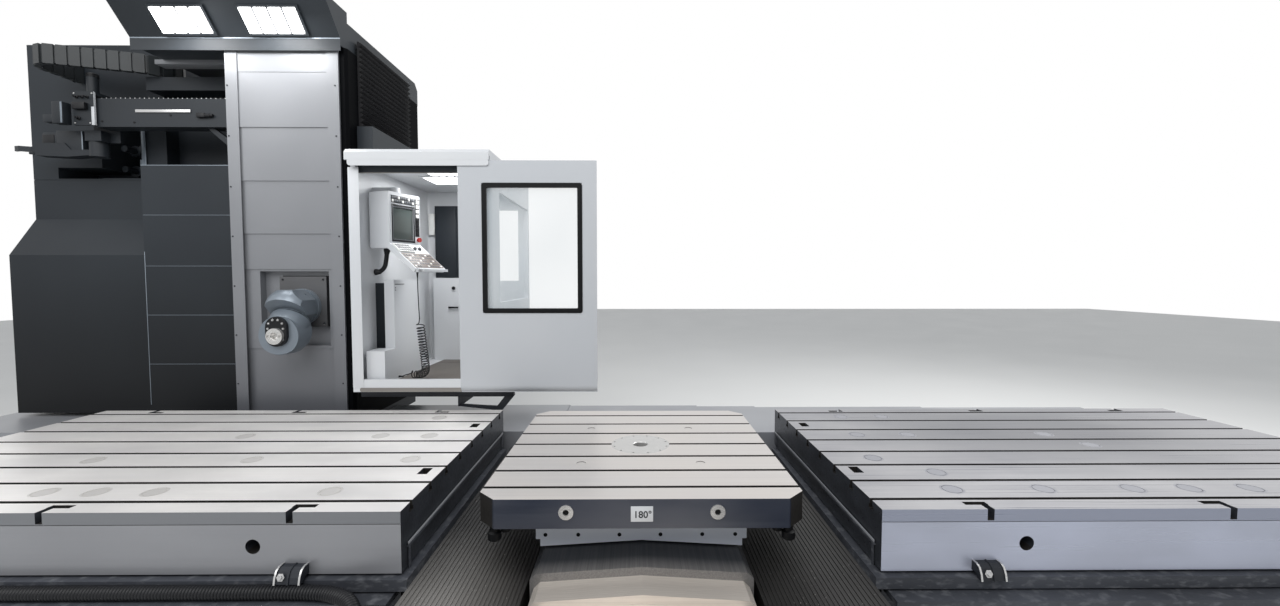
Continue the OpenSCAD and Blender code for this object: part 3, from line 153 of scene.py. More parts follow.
@dataclass
class Surface:
    """A material under construction.

    Attributes:
        tree: its node tree.
        shader: its surface shader.
    """

    tree: bpy.types.NodeTree
    shader: bpy.types.Node

    def place(self) -> Socket:
        """Finds the shaded point.

        Returns:
            Its place in metres.
        """
        return add_node(self.tree, "ShaderNodeTexCoord").outputs["Object"]

    def along(self, axis: Axis) -> Socket:
        """Finds how far along an axis the shaded point lies.

        Args:
            axis: the axis.

        Returns:
            The distance in metres.
        """
        return add_node(self.tree, "ShaderNodeSeparateXYZ", {}, {0: self.place()}).outputs[axis.value]

    def facing(self, axis: Axis) -> Socket:
        """Finds how much the shaded point faces along an axis.

        Args:
            axis: the axis.

        Returns:
            The normal's share along it, from -1 to 1.
        """
        normal = add_node(self.tree, "ShaderNodeTexCoord").outputs["Normal"]
        return add_node(self.tree, "ShaderNodeSeparateXYZ", {}, {0: normal}).outputs[axis.value]

    def maths(self, operation: str, value: Socket, second: float = 0.0) -> Socket:
        """Does a sum with a value.

        Args:
            operation: the sum, by its name in the maths node.
            value: the value.
            second: the number that it takes beside the value.

        Returns:
            The result.
        """
        made = add_node(self.tree, "ShaderNodeMath", {"operation": operation, 1: second}, {0: value})
        return made.outputs[0]

    def distance(self, centre: Point, scale: Point) -> Socket:
        """Measures how far the shaded point is from a centre.

        Args:
            centre: the centre.
            scale: what the distance along each axis is multiplied by; 0 leaves the axis out.

        Returns:
            The distance.
        """
        kind = "ShaderNodeVectorMath"
        moved = add_node(self.tree, kind, {"operation": "SUBTRACT", 1: centre}, {0: self.place()})
        scaled = add_node(self.tree, kind, {"operation": "MULTIPLY", 1: scale}, {0: moved.outputs[0]})
        return add_node(self.tree, kind, {"operation": "LENGTH"}, {0: scaled.outputs[0]}).outputs["Value"]

    def noise(self, stretch: Point, detail: float = 2.0) -> Socket:
        """Adds a noise whose grain has a real size.

        Args:
            stretch: the grain's length along X, Y and Z in metres.
            detail: how many finer layers it has.

        Returns:
            The noise's value.
        """
        scale = tuple(1 / length for length in stretch)
        scaled = add_node(self.tree, "ShaderNodeMapping", {"Scale": scale}, {"Vector": self.place()})
        made = add_node(
            self.tree, "ShaderNodeTexNoise", {"Scale": 1.0, "Detail": detail}, {"Vector": scaled.outputs[0]}
        )
        return made.outputs["Fac"]

    def spread(self, value: Socket, source: Pair, target: Pair) -> Socket:
        """Moves a value from one range to another and holds it at the ends.

        Args:
            value: the value.
            source: the two ends of its own range.
            target: what they become.

        Returns:
            The moved value.
        """
        made = add_node(
            self.tree, "ShaderNodeMapRange",
            {"From Min": source[0], "From Max": source[1], "To Min": target[0], "To Max": target[1]},
            {"Value": value},
        )
        return made.outputs[0]

    def between(self, noise: Socket, low: float, high: float) -> Socket:
        """Spreads a noise over a range.

        Args:
            noise: the noise.
            low: what its dark side becomes.
            high: what its bright side becomes.

        Returns:
            The spread value.
        """
        return self.spread(noise, NOISE_ENDS, (low, high))

    def shaded(self, first: str | Socket, second: str | Socket, factor: Socket) -> Socket:
        """Mixes two colours, each given as sRGB hex or as a socket.

        Args:
            first: the colour at factor 0.
            second: the colour at factor 1.
            factor: the mix.

        Returns:
            The mixed colour.
        """
        mix = add_node(self.tree, "ShaderNodeMix", {"data_type": "RGBA"})
        self.tree.links.new(factor, mix.inputs["Factor"])
        for number, value in ((6, first), (7, second)):
            if isinstance(value, str):
                mix.inputs[number].default_value = linear(value)
            else:
                self.tree.links.new(value, mix.inputs[number])
        return mix.outputs[2]

    def paint(self, colour: Socket) -> None:
        """Gives the shader its colour.

        Args:
            colour: the colour.
        """
        self.tree.links.new(colour, self.shader.inputs["Base Color"])

    def dull(self, noise: Socket, low: float, high: float) -> None:
        """Makes the shader rougher and smoother with a noise.

        Args:
            noise: the noise.
            low: the roughness on its dark side.
            high: the roughness on its bright side.
        """
        self.tree.links.new(self.between(noise, low, high), self.shader.inputs["Roughness"])

    def bump(self, height: Socket, depth: float) -> None:
        """Feeds a height to the shader as bumps.

        Args:
            height: the height, from 0 to 1.
            depth: the bumps' real depth in metres.
        """
        made = add_node(
            self.tree, "ShaderNodeBump", {"Distance": depth, "Strength": 0.6}, {"Height": height}
        )
        self.tree.links.new(made.outputs[0], self.shader.inputs["Normal"])


@dataclass(frozen=True)
class Finish:
    """A real material with its surface, as a node material.

    Attributes:
        name: the material's name.
        slot: the name of a material slot; it is not used.
        colour: its main colour as sRGB hex.
        roughness: how much it scatters a reflection.
        metallic: 1 for bare metal, 0 for paint, rubber and plastic.
        gloss: how strongly a surface that isn't metal reflects; 0.5 is usual, less for dusty ones.
    """

    name: str
    slot: str
    colour: str
    roughness: float = 0.45
    metallic: float = 0.0
    gloss: float = 0.5

    def material(self) -> bpy.types.Material:
        """Builds the material on the first call.

        Returns:
            The finish's material.
        """
        known = bpy.data.materials.get(self.name)
        if known:
            return known
        made = bpy.data.materials.new(self.name)
        made.use_nodes = True
        tree = made.node_tree
        tree.nodes.clear()
        shader = add_node(
            tree, "ShaderNodeBsdfPrincipled",
            {"Roughness": self.roughness, "Metallic": self.metallic, "Base Color": linear(self.colour),
             "Specular IOR Level": self.gloss},
        )
        add_node(tree, "ShaderNodeOutputMaterial", {}, {"Surface": shader.outputs[0]})
        self.dress(Surface(tree, shader))
        made.diffuse_color = linear(self.colour)
        return made

    def dress(self, surface: Surface) -> None:
        """Adds the pattern of the surface.

        Args:
            surface: the material under construction.
        """


@dataclass(frozen=True)
class GroundIron(Finish):
    """Cast iron, ground on top and milled at the sides: long faint streaks along X, soft reflections.

    Attributes:
        side: the colour of the milled upright faces; on the floor plates it carries painted light, and on
            the ram painted shade.
        end: the colour of the faces across X; on the floor plates and the ram it is a painted shade for the
            shadow that these faces lie in.
        cloud: the colour of the cloudy wear on the working face.
        shine: the colour of the brightest grinding streaks.
        side_cloud: the colour that the upright faces drift to.
        end_stain_in_shade: the colour of the stains on the faces across X, darkened with their painted
            shade.
        slot_shade: the painted shade in the slots, a dark colour that stands in for the shade on their
            floors and walls.
        slot_shade_depths: how far below the working face the painted shade starts, and where it hides the
            iron.
        wall_inset: how far from the plate's front and rear an upright face counts as a slot wall.
        band: the colour of the upright faces above the seam, or nothing for no band.
        band_z: the height of the seam.
        top_z: the height of the working face; what faces up below it gets the painted slot shade.
        slot_y: the plate's front and rear; upright faces between them are slot walls in painted shade.
        patch: the colour of one large painted dark reflection in the working face, or nothing.
        reflection_at: the middle of that painted reflection.
        reflection_size: its half length along X and Y.
        streak_mm: the width of a grinding streak, drawn coarser than the real 0.5 mm so that it shows.
    """

    side: str = "#A6A7AB"
    end: str = "#3C3F45"
    cloud: str = "#B4B3B4"
    shine: str = "#E3E0DC"
    side_cloud: str = "#77787C"
    end_stain_in_shade: str = "#24262A"
    slot_shade: str = "#2E2C2A"
    slot_shade_depths: Pair = (0.012, 0.03)
    wall_inset: float = 0.01
    band: str = ""
    band_z: float = 0.738
    top_z: float = 0.8
    slot_y: tuple[float, ...] = ()
    patch: str = ""
    reflection_at: Point = (0.0, 0.0, 0.8)
    reflection_size: Pair = (0.5, 0.25)
    streak_mm: float = 14.0

    def dress(self, surface: Surface) -> None:
        """Adds grinding streaks, cloudy wear, painted shade in the slots and the colours of the upright
        faces.

        Args:
            surface: the material under construction.
        """
        streak = surface.noise((1.6, self.streak_mm * MM, 0.02), 4.0)
        cloud = surface.noise((0.9, 0.5, 0.4), 3.0)
        flat = self.flat_faces(surface, streak, cloud)
        upright = self.upright_faces(surface, cloud)
        steep = surface.maths("LESS_THAN", surface.facing(Axis.Z), LEVEL_SHARE)
        surface.paint(surface.shaded(flat, upright, steep))
        surface.dull(streak, self.roughness - 0.06, self.roughness + 0.1)
        surface.bump(streak, 0.0004)

    def flat_faces(self, surface: Surface, streak: Socket, cloud: Socket) -> Socket:
        """Colours what faces up: the ground face, its painted dark reflection and the painted shade in the
        slots.

        Args:
            surface: the material under construction.
            streak: the grinding streaks.
            cloud: the cloudy wear.

        Returns:
            The colour.
        """
        colour = surface.shaded(self.colour, self.cloud, surface.between(cloud, 0.0, 0.5))
        colour = surface.shaded(colour, self.shine, surface.between(streak, 0.0, 0.22))
        # Painted reflection: a soft dark patch where a dark beam mirrors in the ground face.
        if self.patch:
            wide, deep = self.reflection_size
            far = surface.distance(self.reflection_at, (1 / wide, 1 / deep, 0.0))
            colour = surface.shaded(colour, self.patch, surface.spread(far, (0.35, 1.2), (0.75, 0.0)))
        # Painted shade: what faces up below the working face darkens to the slot shade.
        start, full = self.slot_shade_depths
        sunk = surface.spread(surface.along(Axis.Z), (self.top_z - full, self.top_z - start), (1.0, 0.0))
        return surface.shaded(colour, self.slot_shade, sunk)

    def upright_faces(self, surface: Surface, cloud: Socket) -> Socket:
        """Colours the upright faces: the milled sides, the band, the slots' walls in painted shade and the
        stained ends, which carry painted shade on the plates and the ram.

        Args:
            surface: the material under construction.
            cloud: the cloudy wear.

        Returns:
            The colour.
        """
        colour = surface.shaded(self.side, self.side_cloud, surface.between(cloud, 0.0, 0.35))
        if self.band:
            seam = (self.band_z - 0.001, self.band_z + 0.001)
            above = surface.spread(surface.along(Axis.Z), seam, (0.0, 1.0))
            colour = surface.shaded(colour, self.band, above)
        # Painted shade on the slots' walls.
        if self.slot_y:
            middle, reach = sum(self.slot_y) / 2, (self.slot_y[1] - self.slot_y[0]) / 2
            off = surface.maths("ABSOLUTE", surface.maths("SUBTRACT", surface.along(Axis.Y), middle))
            wall = surface.maths("LESS_THAN", off, reach - self.wall_inset)
            colour = surface.shaded(colour, self.slot_shade, wall)
        # Painted shade on the faces across X, with stains in it.
        stain = surface.noise((0.16, 0.16, 0.09), 3.0)
        end = surface.shaded(self.end, self.end_stain_in_shade, surface.between(stain, 0.0, 0.7))
        share = surface.maths("ABSOLUTE", surface.facing(Axis.X))
        return surface.shaded(colour, end, surface.maths("GREATER_THAN", share, ACROSS_SHARE))


@dataclass(frozen=True)
class SprayedPaint(Finish):
    """Sprayed enamel on sheet or casting: even colour with faint clouding and orange peel.

    Attributes:
        cloud: the colour that it drifts to over a metre or so.
        foot_shade: the painted shade that it darkens to near the floor, or nothing.
        foot_shade_z: the heights between which the painted shade comes in.
        peel_mm: the size of the orange peel, drawn coarser than the real 1 mm so that it shows.
        peel_depth_mm: how deep the orange peel is.
    """

    cloud: str = ""
    foot_shade: str = ""
    foot_shade_z: Pair = (0.7, 2.4)
    peel_mm: float = 9.0
    peel_depth_mm: float = 0.12

    def dress(self, surface: Surface) -> None:
        """Adds the clouding, the painted shade near the floor and the orange peel.

        Args:
            surface: the material under construction.
        """
        drift = surface.noise((1.3, 1.3, 1.7))
        colour = surface.shaded(self.colour, self.cloud or self.colour, surface.between(drift, 0, 1))
        # Painted shade: darker towards the floor, where shadow falls.
        if self.foot_shade:
            low = surface.spread(surface.along(Axis.Z), self.foot_shade_z, (1.0, 0.0))
            colour = surface.shaded(colour, self.foot_shade, low)
        surface.paint(colour)
        surface.dull(drift, self.roughness - 0.05, self.roughness + 0.07)
        surface.bump(surface.noise((self.peel_mm * MM,) * 3, 1.0), self.peel_depth_mm * MM)


@dataclass(frozen=True)
class RolledSheet(Finish):
    """Rolled or brushed sheet steel: fine streaks one way, lighter and darker along the sheet.

    Attributes:
        dark: the colour of the streaks' dark side.
        streak_mm: the streaks' width, drawn coarser than the real 0.3 mm so that it shows.
    """

    dark: str = "#8C8A87"
    streak_mm: float = 8.0

    def dress(self, surface: Surface) -> None:
        """Adds the streaks to colour, roughness and bump.

        Args:
            surface: the material under construction.
        """
        streak = surface.noise((1.2, self.streak_mm * MM, self.streak_mm * MM), 3.0)
        patch = surface.noise((0.5, 0.4, 0.3))
        colour = surface.shaded(self.colour, self.dark, surface.between(streak, 0.0, 0.45))
        surface.paint(surface.shaded(colour, self.dark, surface.between(patch, 0.0, 0.3)))
        self.streaked(surface, streak)

    def streaked(self, surface: Surface, streak: Socket) -> None:
        """Lets the streaks show in roughness and bump.

        Args:
            surface: the material under construction.
            streak: the streaks.
        """
        surface.dull(streak, self.roughness - 0.08, self.roughness + 0.12)
        surface.bump(streak, 0.0002)


@dataclass(frozen=True)
class GradedSheet(RolledSheet):
    """A cover sheet painted dark with the table's shadow where it lies under the table, and painted lighter
    towards its lip.

    Attributes:
        bright: the painted light at the lip.
        shade_to_light_y: where along Y the painted shade starts to give way to painted light, and where it
            is brightest.
    """

    bright: str = "#9A9794"
    shade_to_light_y: Pair = (0.0, 1.0)

    def dress(self, surface: Surface) -> None:
        """Adds the streaks and the change from painted shade to painted light along Y.

        Args:
            surface: the material under construction.
        """
        streak = surface.noise((self.streak_mm * MM, 1.2, self.streak_mm * MM), 3.0)
        # Painted shade under the table, giving way to painted light at the lip.
        out_of_shade = surface.spread(surface.along(Axis.Y), self.shade_to_light_y, (0.0, 1.0))
        colour = surface.shaded(self.colour, self.bright, out_of_shade)
        surface.paint(surface.shaded(colour, self.dark, surface.between(streak, 0.0, 0.35)))
        self.streaked(surface, streak)


@dataclass(frozen=True)
class SidedSteel(RolledSheet):
    """Ground steel caps in both floor plates, with the plates' painted light: as pale as the lit left plate,
    a painted bluish shade in the right one.

    Attributes:
        right: the painted bluish shade on the right side.
    """

    right: str = "#8A8B92"

    def dress(self, surface: Surface) -> None:
        """Adds the streaks and the painted light of each side.

        Args:
            surface: the material under construction.
        """
        streak = surface.noise((1.6, 0.006, 0.02), 4.0)
        left = surface.shaded(self.colour, self.dark, surface.between(streak, 0.0, 1.0))
        # Painted light: pale on the left, a painted bluish shade on the right.
        side = surface.spread(surface.along(Axis.X), (-0.1, 0.1), (0.0, 1.0))
        surface.paint(surface.shaded(left, self.right, side))


@dataclass(frozen=True)
class StainedCasting(SprayedPaint):
    """Enamelled casting where coolant has dried: dark paint with pale, ragged stains.

    Attributes:
        stain: the colour of the dried stains.
    """

    stain: str = "#8C8E92"

    def dress(self, surface: Surface) -> None:
        """Adds the clouding, the stains and a rough skin.

        Args:
            surface: the material under construction.
        """
        drift = surface.noise((0.9, 0.9, 0.5))
        colour = surface.shaded(self.colour, self.cloud, surface.between(drift, 0, 1))
        ragged = surface.noise((0.05, 0.05, 0.02), 7.0)
        surface.paint(surface.shaded(colour, self.stain, surface.spread(ragged, (0.52, 0.80), (0.0, 0.4))))
        surface.dull(ragged, 0.45, 0.7)
        surface.bump(ragged, 0.0003)


@dataclass(frozen=True)
class TurnedSteel(Finish):
    """Steel turned on a lathe: fine rings round its axis, bright with dark between them.

    Attributes:
        centre: a point on the axis of turning.
        axis: the axis of turning.
        ring_mm: the pitch of the rings, drawn coarser than the real 0.2 mm so that it shows.
        bright: the colour of a ring.
        dull: the colour of patches where it is stained.
    """

    centre: Point = (0.0, 0.0, 0.0)
    axis: Axis = Axis.Z
    ring_mm: float = 5.0
    bright: str = "#DAD9D6"
    dull: str = "#8F8F90"

    def dress(self, surface: Surface) -> None:
        """Adds the rings, worked out from the distance to the axis.

        Args:
            surface: the material under construction.
        """
        across = in_space((1.0, 1.0), self.axis, 0.0)
        turns = surface.maths(
            "MULTIPLY", surface.distance(self.centre, across), 2 * math.pi / (self.ring_mm * MM)
        )
        ring = surface.spread(surface.maths("SINE", turns), (-1.0, 1.0), (0.0, 1.0))
        patch = surface.noise((0.08, 0.08, 0.08))
        colour = surface.shaded(self.colour, self.dull, surface.between(patch, 0.0, 0.4))
        colour = surface.shaded(colour, self.bright, ring)
        surface.paint(surface.shaded(self.colour, colour, surface.between(patch, 0.2, 0.5)))
        surface.dull(ring, self.roughness - 0.05, self.roughness + 0.1)


@dataclass(frozen=True)
class MouldedRubber(Finish):
    """Moulded rubber or plastic: matt, a fine skin texture and a little grey dust in patches.

    Attributes:
        dust: the colour of dusty patches.
        skin_mm: the size of the skin's grain.
    """

    dust: str = "#3A3937"
    skin_mm: float = 6.0

    def dress(self, surface: Surface) -> None:
        """Adds the dust and the skin texture.

        Args:
            surface: the material under construction.
        """
        surface.paint(self.dusty(surface))
        surface.bump(surface.noise((self.skin_mm * MM,) * 3), 0.0003)

    def dusty(self, surface: Surface) -> Socket:
        """Colours the rubber with its dust.

        Args:
            surface: the material under construction.

        Returns:
            The colour.
        """
        patch = surface.noise((0.35, 0.35, 0.35), 4.0)
        return surface.shaded(self.colour, self.dust, surface.between(patch, 0.0, 0.8))


@dataclass(frozen=True)
class SheenedRubber(MouldedRubber):
    """Oiled ribbed rubber: nearly black, with a painted grey sheen on the left side and painted pale glints.

    Attributes:
        sheen: the colour of the painted sheen, a reflection of the wall painted into the colour.
        sheen_at: the middle of the sheen.
        sheen_size: the distances along X and Y over which it fades.
        glint: the colour of the painted glints on the ribs.
        glint_mm: the size of a painted glint.
    """

    sheen: str = "#8A8783"
    sheen_at: Point = (-0.98, -1.15, 0.35)
    sheen_size: Pair = (1 / 2.2, 1 / 1.1)
    glint: str = "#B9B6B0"
    glint_mm: float = 12.0

    def dress(self, surface: Surface) -> None:
        """Adds the painted sheen, the dust and the painted glints.

        Args:
            surface: the material under construction.
        """
        # Painted sheen: a reflection of the wall, lighter on the left trough.
        wide, deep = self.sheen_size
        far = surface.distance(self.sheen_at, (1 / wide, 1 / deep, 0.0))
        colour = surface.shaded(self.dusty(surface), self.sheen, surface.spread(far, (0.1, 0.9), (0.7, 0.0)))
        # Painted glints on the ribs.
        glints = surface.noise((self.glint_mm * MM,) * 3)
        surface.paint(surface.shaded(colour, self.glint, surface.spread(glints, (0.72, 0.76), (0.0, 0.8))))
        surface.bump(glints, 0.0004)


@dataclass(frozen=True)
class ClearPane(Finish):
    """Float glass or acrylic: clear, glossy, with a faint tint.

    Attributes:
        cover: how much of what lies behind it the pane hides.
        tint: the colour that it drifts to.
    """

    cover: float = 0.14
    tint: str = "#AEBFC6"

    def dress(self, surface: Surface) -> None:
        """Sets the pane's transparency and a faint waviness.

        Args:
            surface: the material under construction.
        """
        surface.shader.inputs["Alpha"].default_value = self.cover
        wave = surface.noise((0.4, 0.4, 0.5), 0.0)
        surface.bump(wave, 0.0005)
        surface.paint(surface.shaded(self.colour, self.tint, surface.between(wave, 0, 1)))


@dataclass(frozen=True)
class Lamp(Finish):
    """A lit diffuser: brighter along the middle of each row of lamps.

    Attributes:
        strength: how bright it is.
        row_mm: the pitch of the rows.
        core: the colour at the middle of a row.
    """

    strength: float = 1.0
    row_mm: float = 60.0
    core: str = "#FFFFFF"

    def dress(self, surface: Surface) -> None:
        """Makes the face shine, with a soft variation along it.

        Args:
            surface: the material under construction.
        """
        glow = surface.noise((self.row_mm * MM, 0.2, 0.2), 0.0)
        colour = surface.shaded(self.colour, self.core, surface.between(glow, 0, 1))
        surface.tree.links.new(colour, surface.shader.inputs["Emission Color"])
        surface.paint(colour)
        surface.shader.inputs["Emission Strength"].default_value = self.strength


@dataclass(frozen=True)
class ScreenGlass(Finish):
    """The dark glass of a switched-off screen: grey-green, with a lighter cloud across it.

    Attributes:
        cloud: the colour of the cloud.
    """

    cloud: str = "#4F5856"

    def dress(self, surface: Surface) -> None:
        """Adds the lighter cloud.

        Args:
            surface: the material under construction.
        """
        drift = surface.noise((0.5, 0.5, 0.35), 0.0)
        surface.paint(surface.shaded(self.colour, self.cloud, surface.between(drift, 0, 1)))


# Finishes

# The front and the rear of both floor plates
PLATE_Y = (-1.045, 0.955)
# Painted light: both floor plates are one iron in two copies. The left one is brightened as lit; the right
# one is darkened on top as shaded, with a painted bluish reflection on its upright faces and a painted dark
# reflection on its top.
LEFT_IRON = GroundIron(
    "left_plate_iron_painted_light", "ground_iron", "#F2EFEC", 0.34, 0.3, side="#8E8F93", band="#75777B", slot_y=PLATE_Y
)
RIGHT_IRON = GroundIron(
    "right_plate_iron_painted_shade", "ground_iron", "#76777F", 0.32, 0.3, side="#B4B9CA", band="#8E93A3",
    slot_y=PLATE_Y, patch="#4F5158", reflection_at=(3.08, 0.35, 0.8), reflection_size=(1.5, 0.9),
)
TABLE_IRON = GroundIron(
    "ground_table_iron", "ground_iron", "#BDB7B2", 0.34, 0.3, side="#262D3D", end="#252B3A",
    slot_y=(-0.910, 0.910),
)
# Painted shade: the ram's upright faces are coloured dark for the shade of the opening that it runs in.
RAM_IRON = GroundIron(
    "milled_ram_iron_painted_shade", "ground_iron", "#B9B6B2", 0.35, 0.4, side="#4C4C4D", end="#3A3A3C", top_z=-10.0
)
CAP_STEEL = SidedSteel(
    "ground_cap_steel_painted_light", "ground_iron", "#D8D5D2", 0.34, 0.3, dark="#CBC8C5", right="#8A8B92"
)
DARK_CASTING = SprayedPaint(
    "dark_casting_enamel", "dark_casting", "#26292F", 0.5, gloss=0.3, cloud="#1E2126"
)
PLINTH = StainedCasting(
    "stained_plinth_enamel", "dark_casting", "#474A51", 0.55, gloss=0.3, cloud="#34363B"
)
HEAD_ENAMEL = SprayedPaint("head_enamel", "dark_casting", "#838C95", 0.3, 0.35, cloud="#6F7881")
# Painted light: the saddle's enamel is brightened almost to white for the light that the table's shade keeps
# off its front.
SADDLE_ENAMEL_PAINTED_LIGHT = SprayedPaint("saddle_enamel_painted_light", "dark_casting", "#F0F3FA", 0.4, cloud="#DFE4EE")
COLUMN_SHEET = SprayedPaint(
    "column_sheet_enamel", "cover_grey", "#84868A", 0.38, 0.15, cloud="#77797D", foot_shade="#606267",
    foot_shade_z=(0.7, 1.8),
)
BED_SHEET = SprayedPaint("bed_sheet_enamel", "cover_grey", "#9A9CA0", 0.4, 0.2, cloud="#898B90")
DARK_SHEET = SprayedPaint(
    "dark_sheet_enamel", "dark_paint", "#2C3136", 0.48, gloss=0.22, cloud="#24282D", foot_shade="#0E1013"
)
# Near-black with almost no gloss: a dark sheet, darkened further as painted shade for the gap between the
# column's frame and the cabin.
BLACK_SHEET = SprayedPaint("black_sheet_painted_shade", "dark_paint", "#08090B", 0.6, gloss=0.03, cloud="#050608")
HOOD_SHEET = SprayedPaint("hood_sheet_enamel", "dark_paint", "#353A3F", 0.45, gloss=0.25, cloud="#2A2E32")
CHANGER_ENAMEL = SprayedPaint("changer_enamel", "dark_paint", "#2A2E33", 0.42, gloss=0.25, cloud="#202428")
CABIN_ENAMEL = SprayedPaint("cabin_enamel", "cabin_white", "#CED0D2", 0.35, cloud="#C5C8CC")
DOOR_ENAMEL = SprayedPaint("door_enamel", "cabin_white", "#B9BCC0", 0.38, cloud="#B1B5BA")
SLIDE_SHEET = RolledSheet("rolled_slide_sheet", "slide_black", "#DCD4CB", 0.36, 0.45, dark="#BDB5AC")
DISC_STEEL = TurnedSteel("turned_disc_steel", "machined_steel", "#B4B3B2", 0.3, 0.5)
WORN_STEEL = RolledSheet("worn_rail_steel", "machined_steel", "#8B8884", 0.4, 0.6, dark="#6F6C69")
BRIGHT_STEEL = RolledSheet("bright_steel", "machined_steel", "#CFCFCF", 0.28, 0.8, dark="#9A9A9A")
FIRST_COVER = GradedSheet(
    "graded_cover_painted_shade", "slide_black", "#36383C", 0.36, 0.35, dark="#303236", bright="#A5A29F",
    shade_to_light_y=(-0.80, -1.02),
)
BELT = MouldedRubber("moulded_rubber", "belt_rubber", "#1A1A1D", 0.5, gloss=0.25, dust="#29292A")
BLACK_GASKET = MouldedRubber(
    "extruded_rubber", "belt_rubber", "#08090B", 0.5, gloss=0.15, dust="#0F1012", skin_mm=4.0
)
FLOOR_MAT = MouldedRubber("floor_mat_rubber", "belt_rubber", "#57524D", 0.6, dust="#635E59", skin_mm=8.0)
TROUGH = SheenedRubber("ribbed_trough_rubber", "belt_rubber", "#232222", 0.42, gloss=0.4, dust="#302F2E")
CHAIN_PLASTIC = MouldedRubber("moulded_nylon", "black_plastic", "#2A2D2F", 0.4, gloss=0.3, dust="#35393B")
BLACK_PLASTIC = MouldedRubber(
    "black_abs", "black_plastic", "#111215", 0.42, gloss=0.25, dust="#1A1B1E", skin_mm=4.0
)
GREY_KEYS = MouldedRubber("grey_key_rubber", "black_plastic", "#4A4E53", 0.45, dust="#55595E", skin_mm=3.0)
WHITE_KEYS = MouldedRubber("white_key_rubber", "cabin_white", "#E2E3E1", 0.4, dust="#D2D3D1", skin_mm=3.0)
KEY_PLATE = SprayedPaint("key_plate_enamel", "dark_paint", "#6E635D", 0.4, cloud="#625852", peel_mm=4.0)
STOP_RED = MouldedRubber("moulded_red_plastic", "red_plastic", "#9E211B", 0.3, dust="#8A1C17", skin_mm=10.0)
PANE = ClearPane("cabin_pane", "window_glass", "#D5DFE2", 0.05)
LAMP_FACE = Lamp("lamp_diffuser", "lamp_glass", "#F4F6F8", 0.4, strength=6.0)
ROOM_LAMP = Lamp("cabin_lamp_diffuser", "lamp_glass", "#F6F7F8", 0.4, strength=4.0)
SCREEN = ScreenGlass("screen_glass", "lamp_glass", "#363B3A", 0.12)


# Meshes


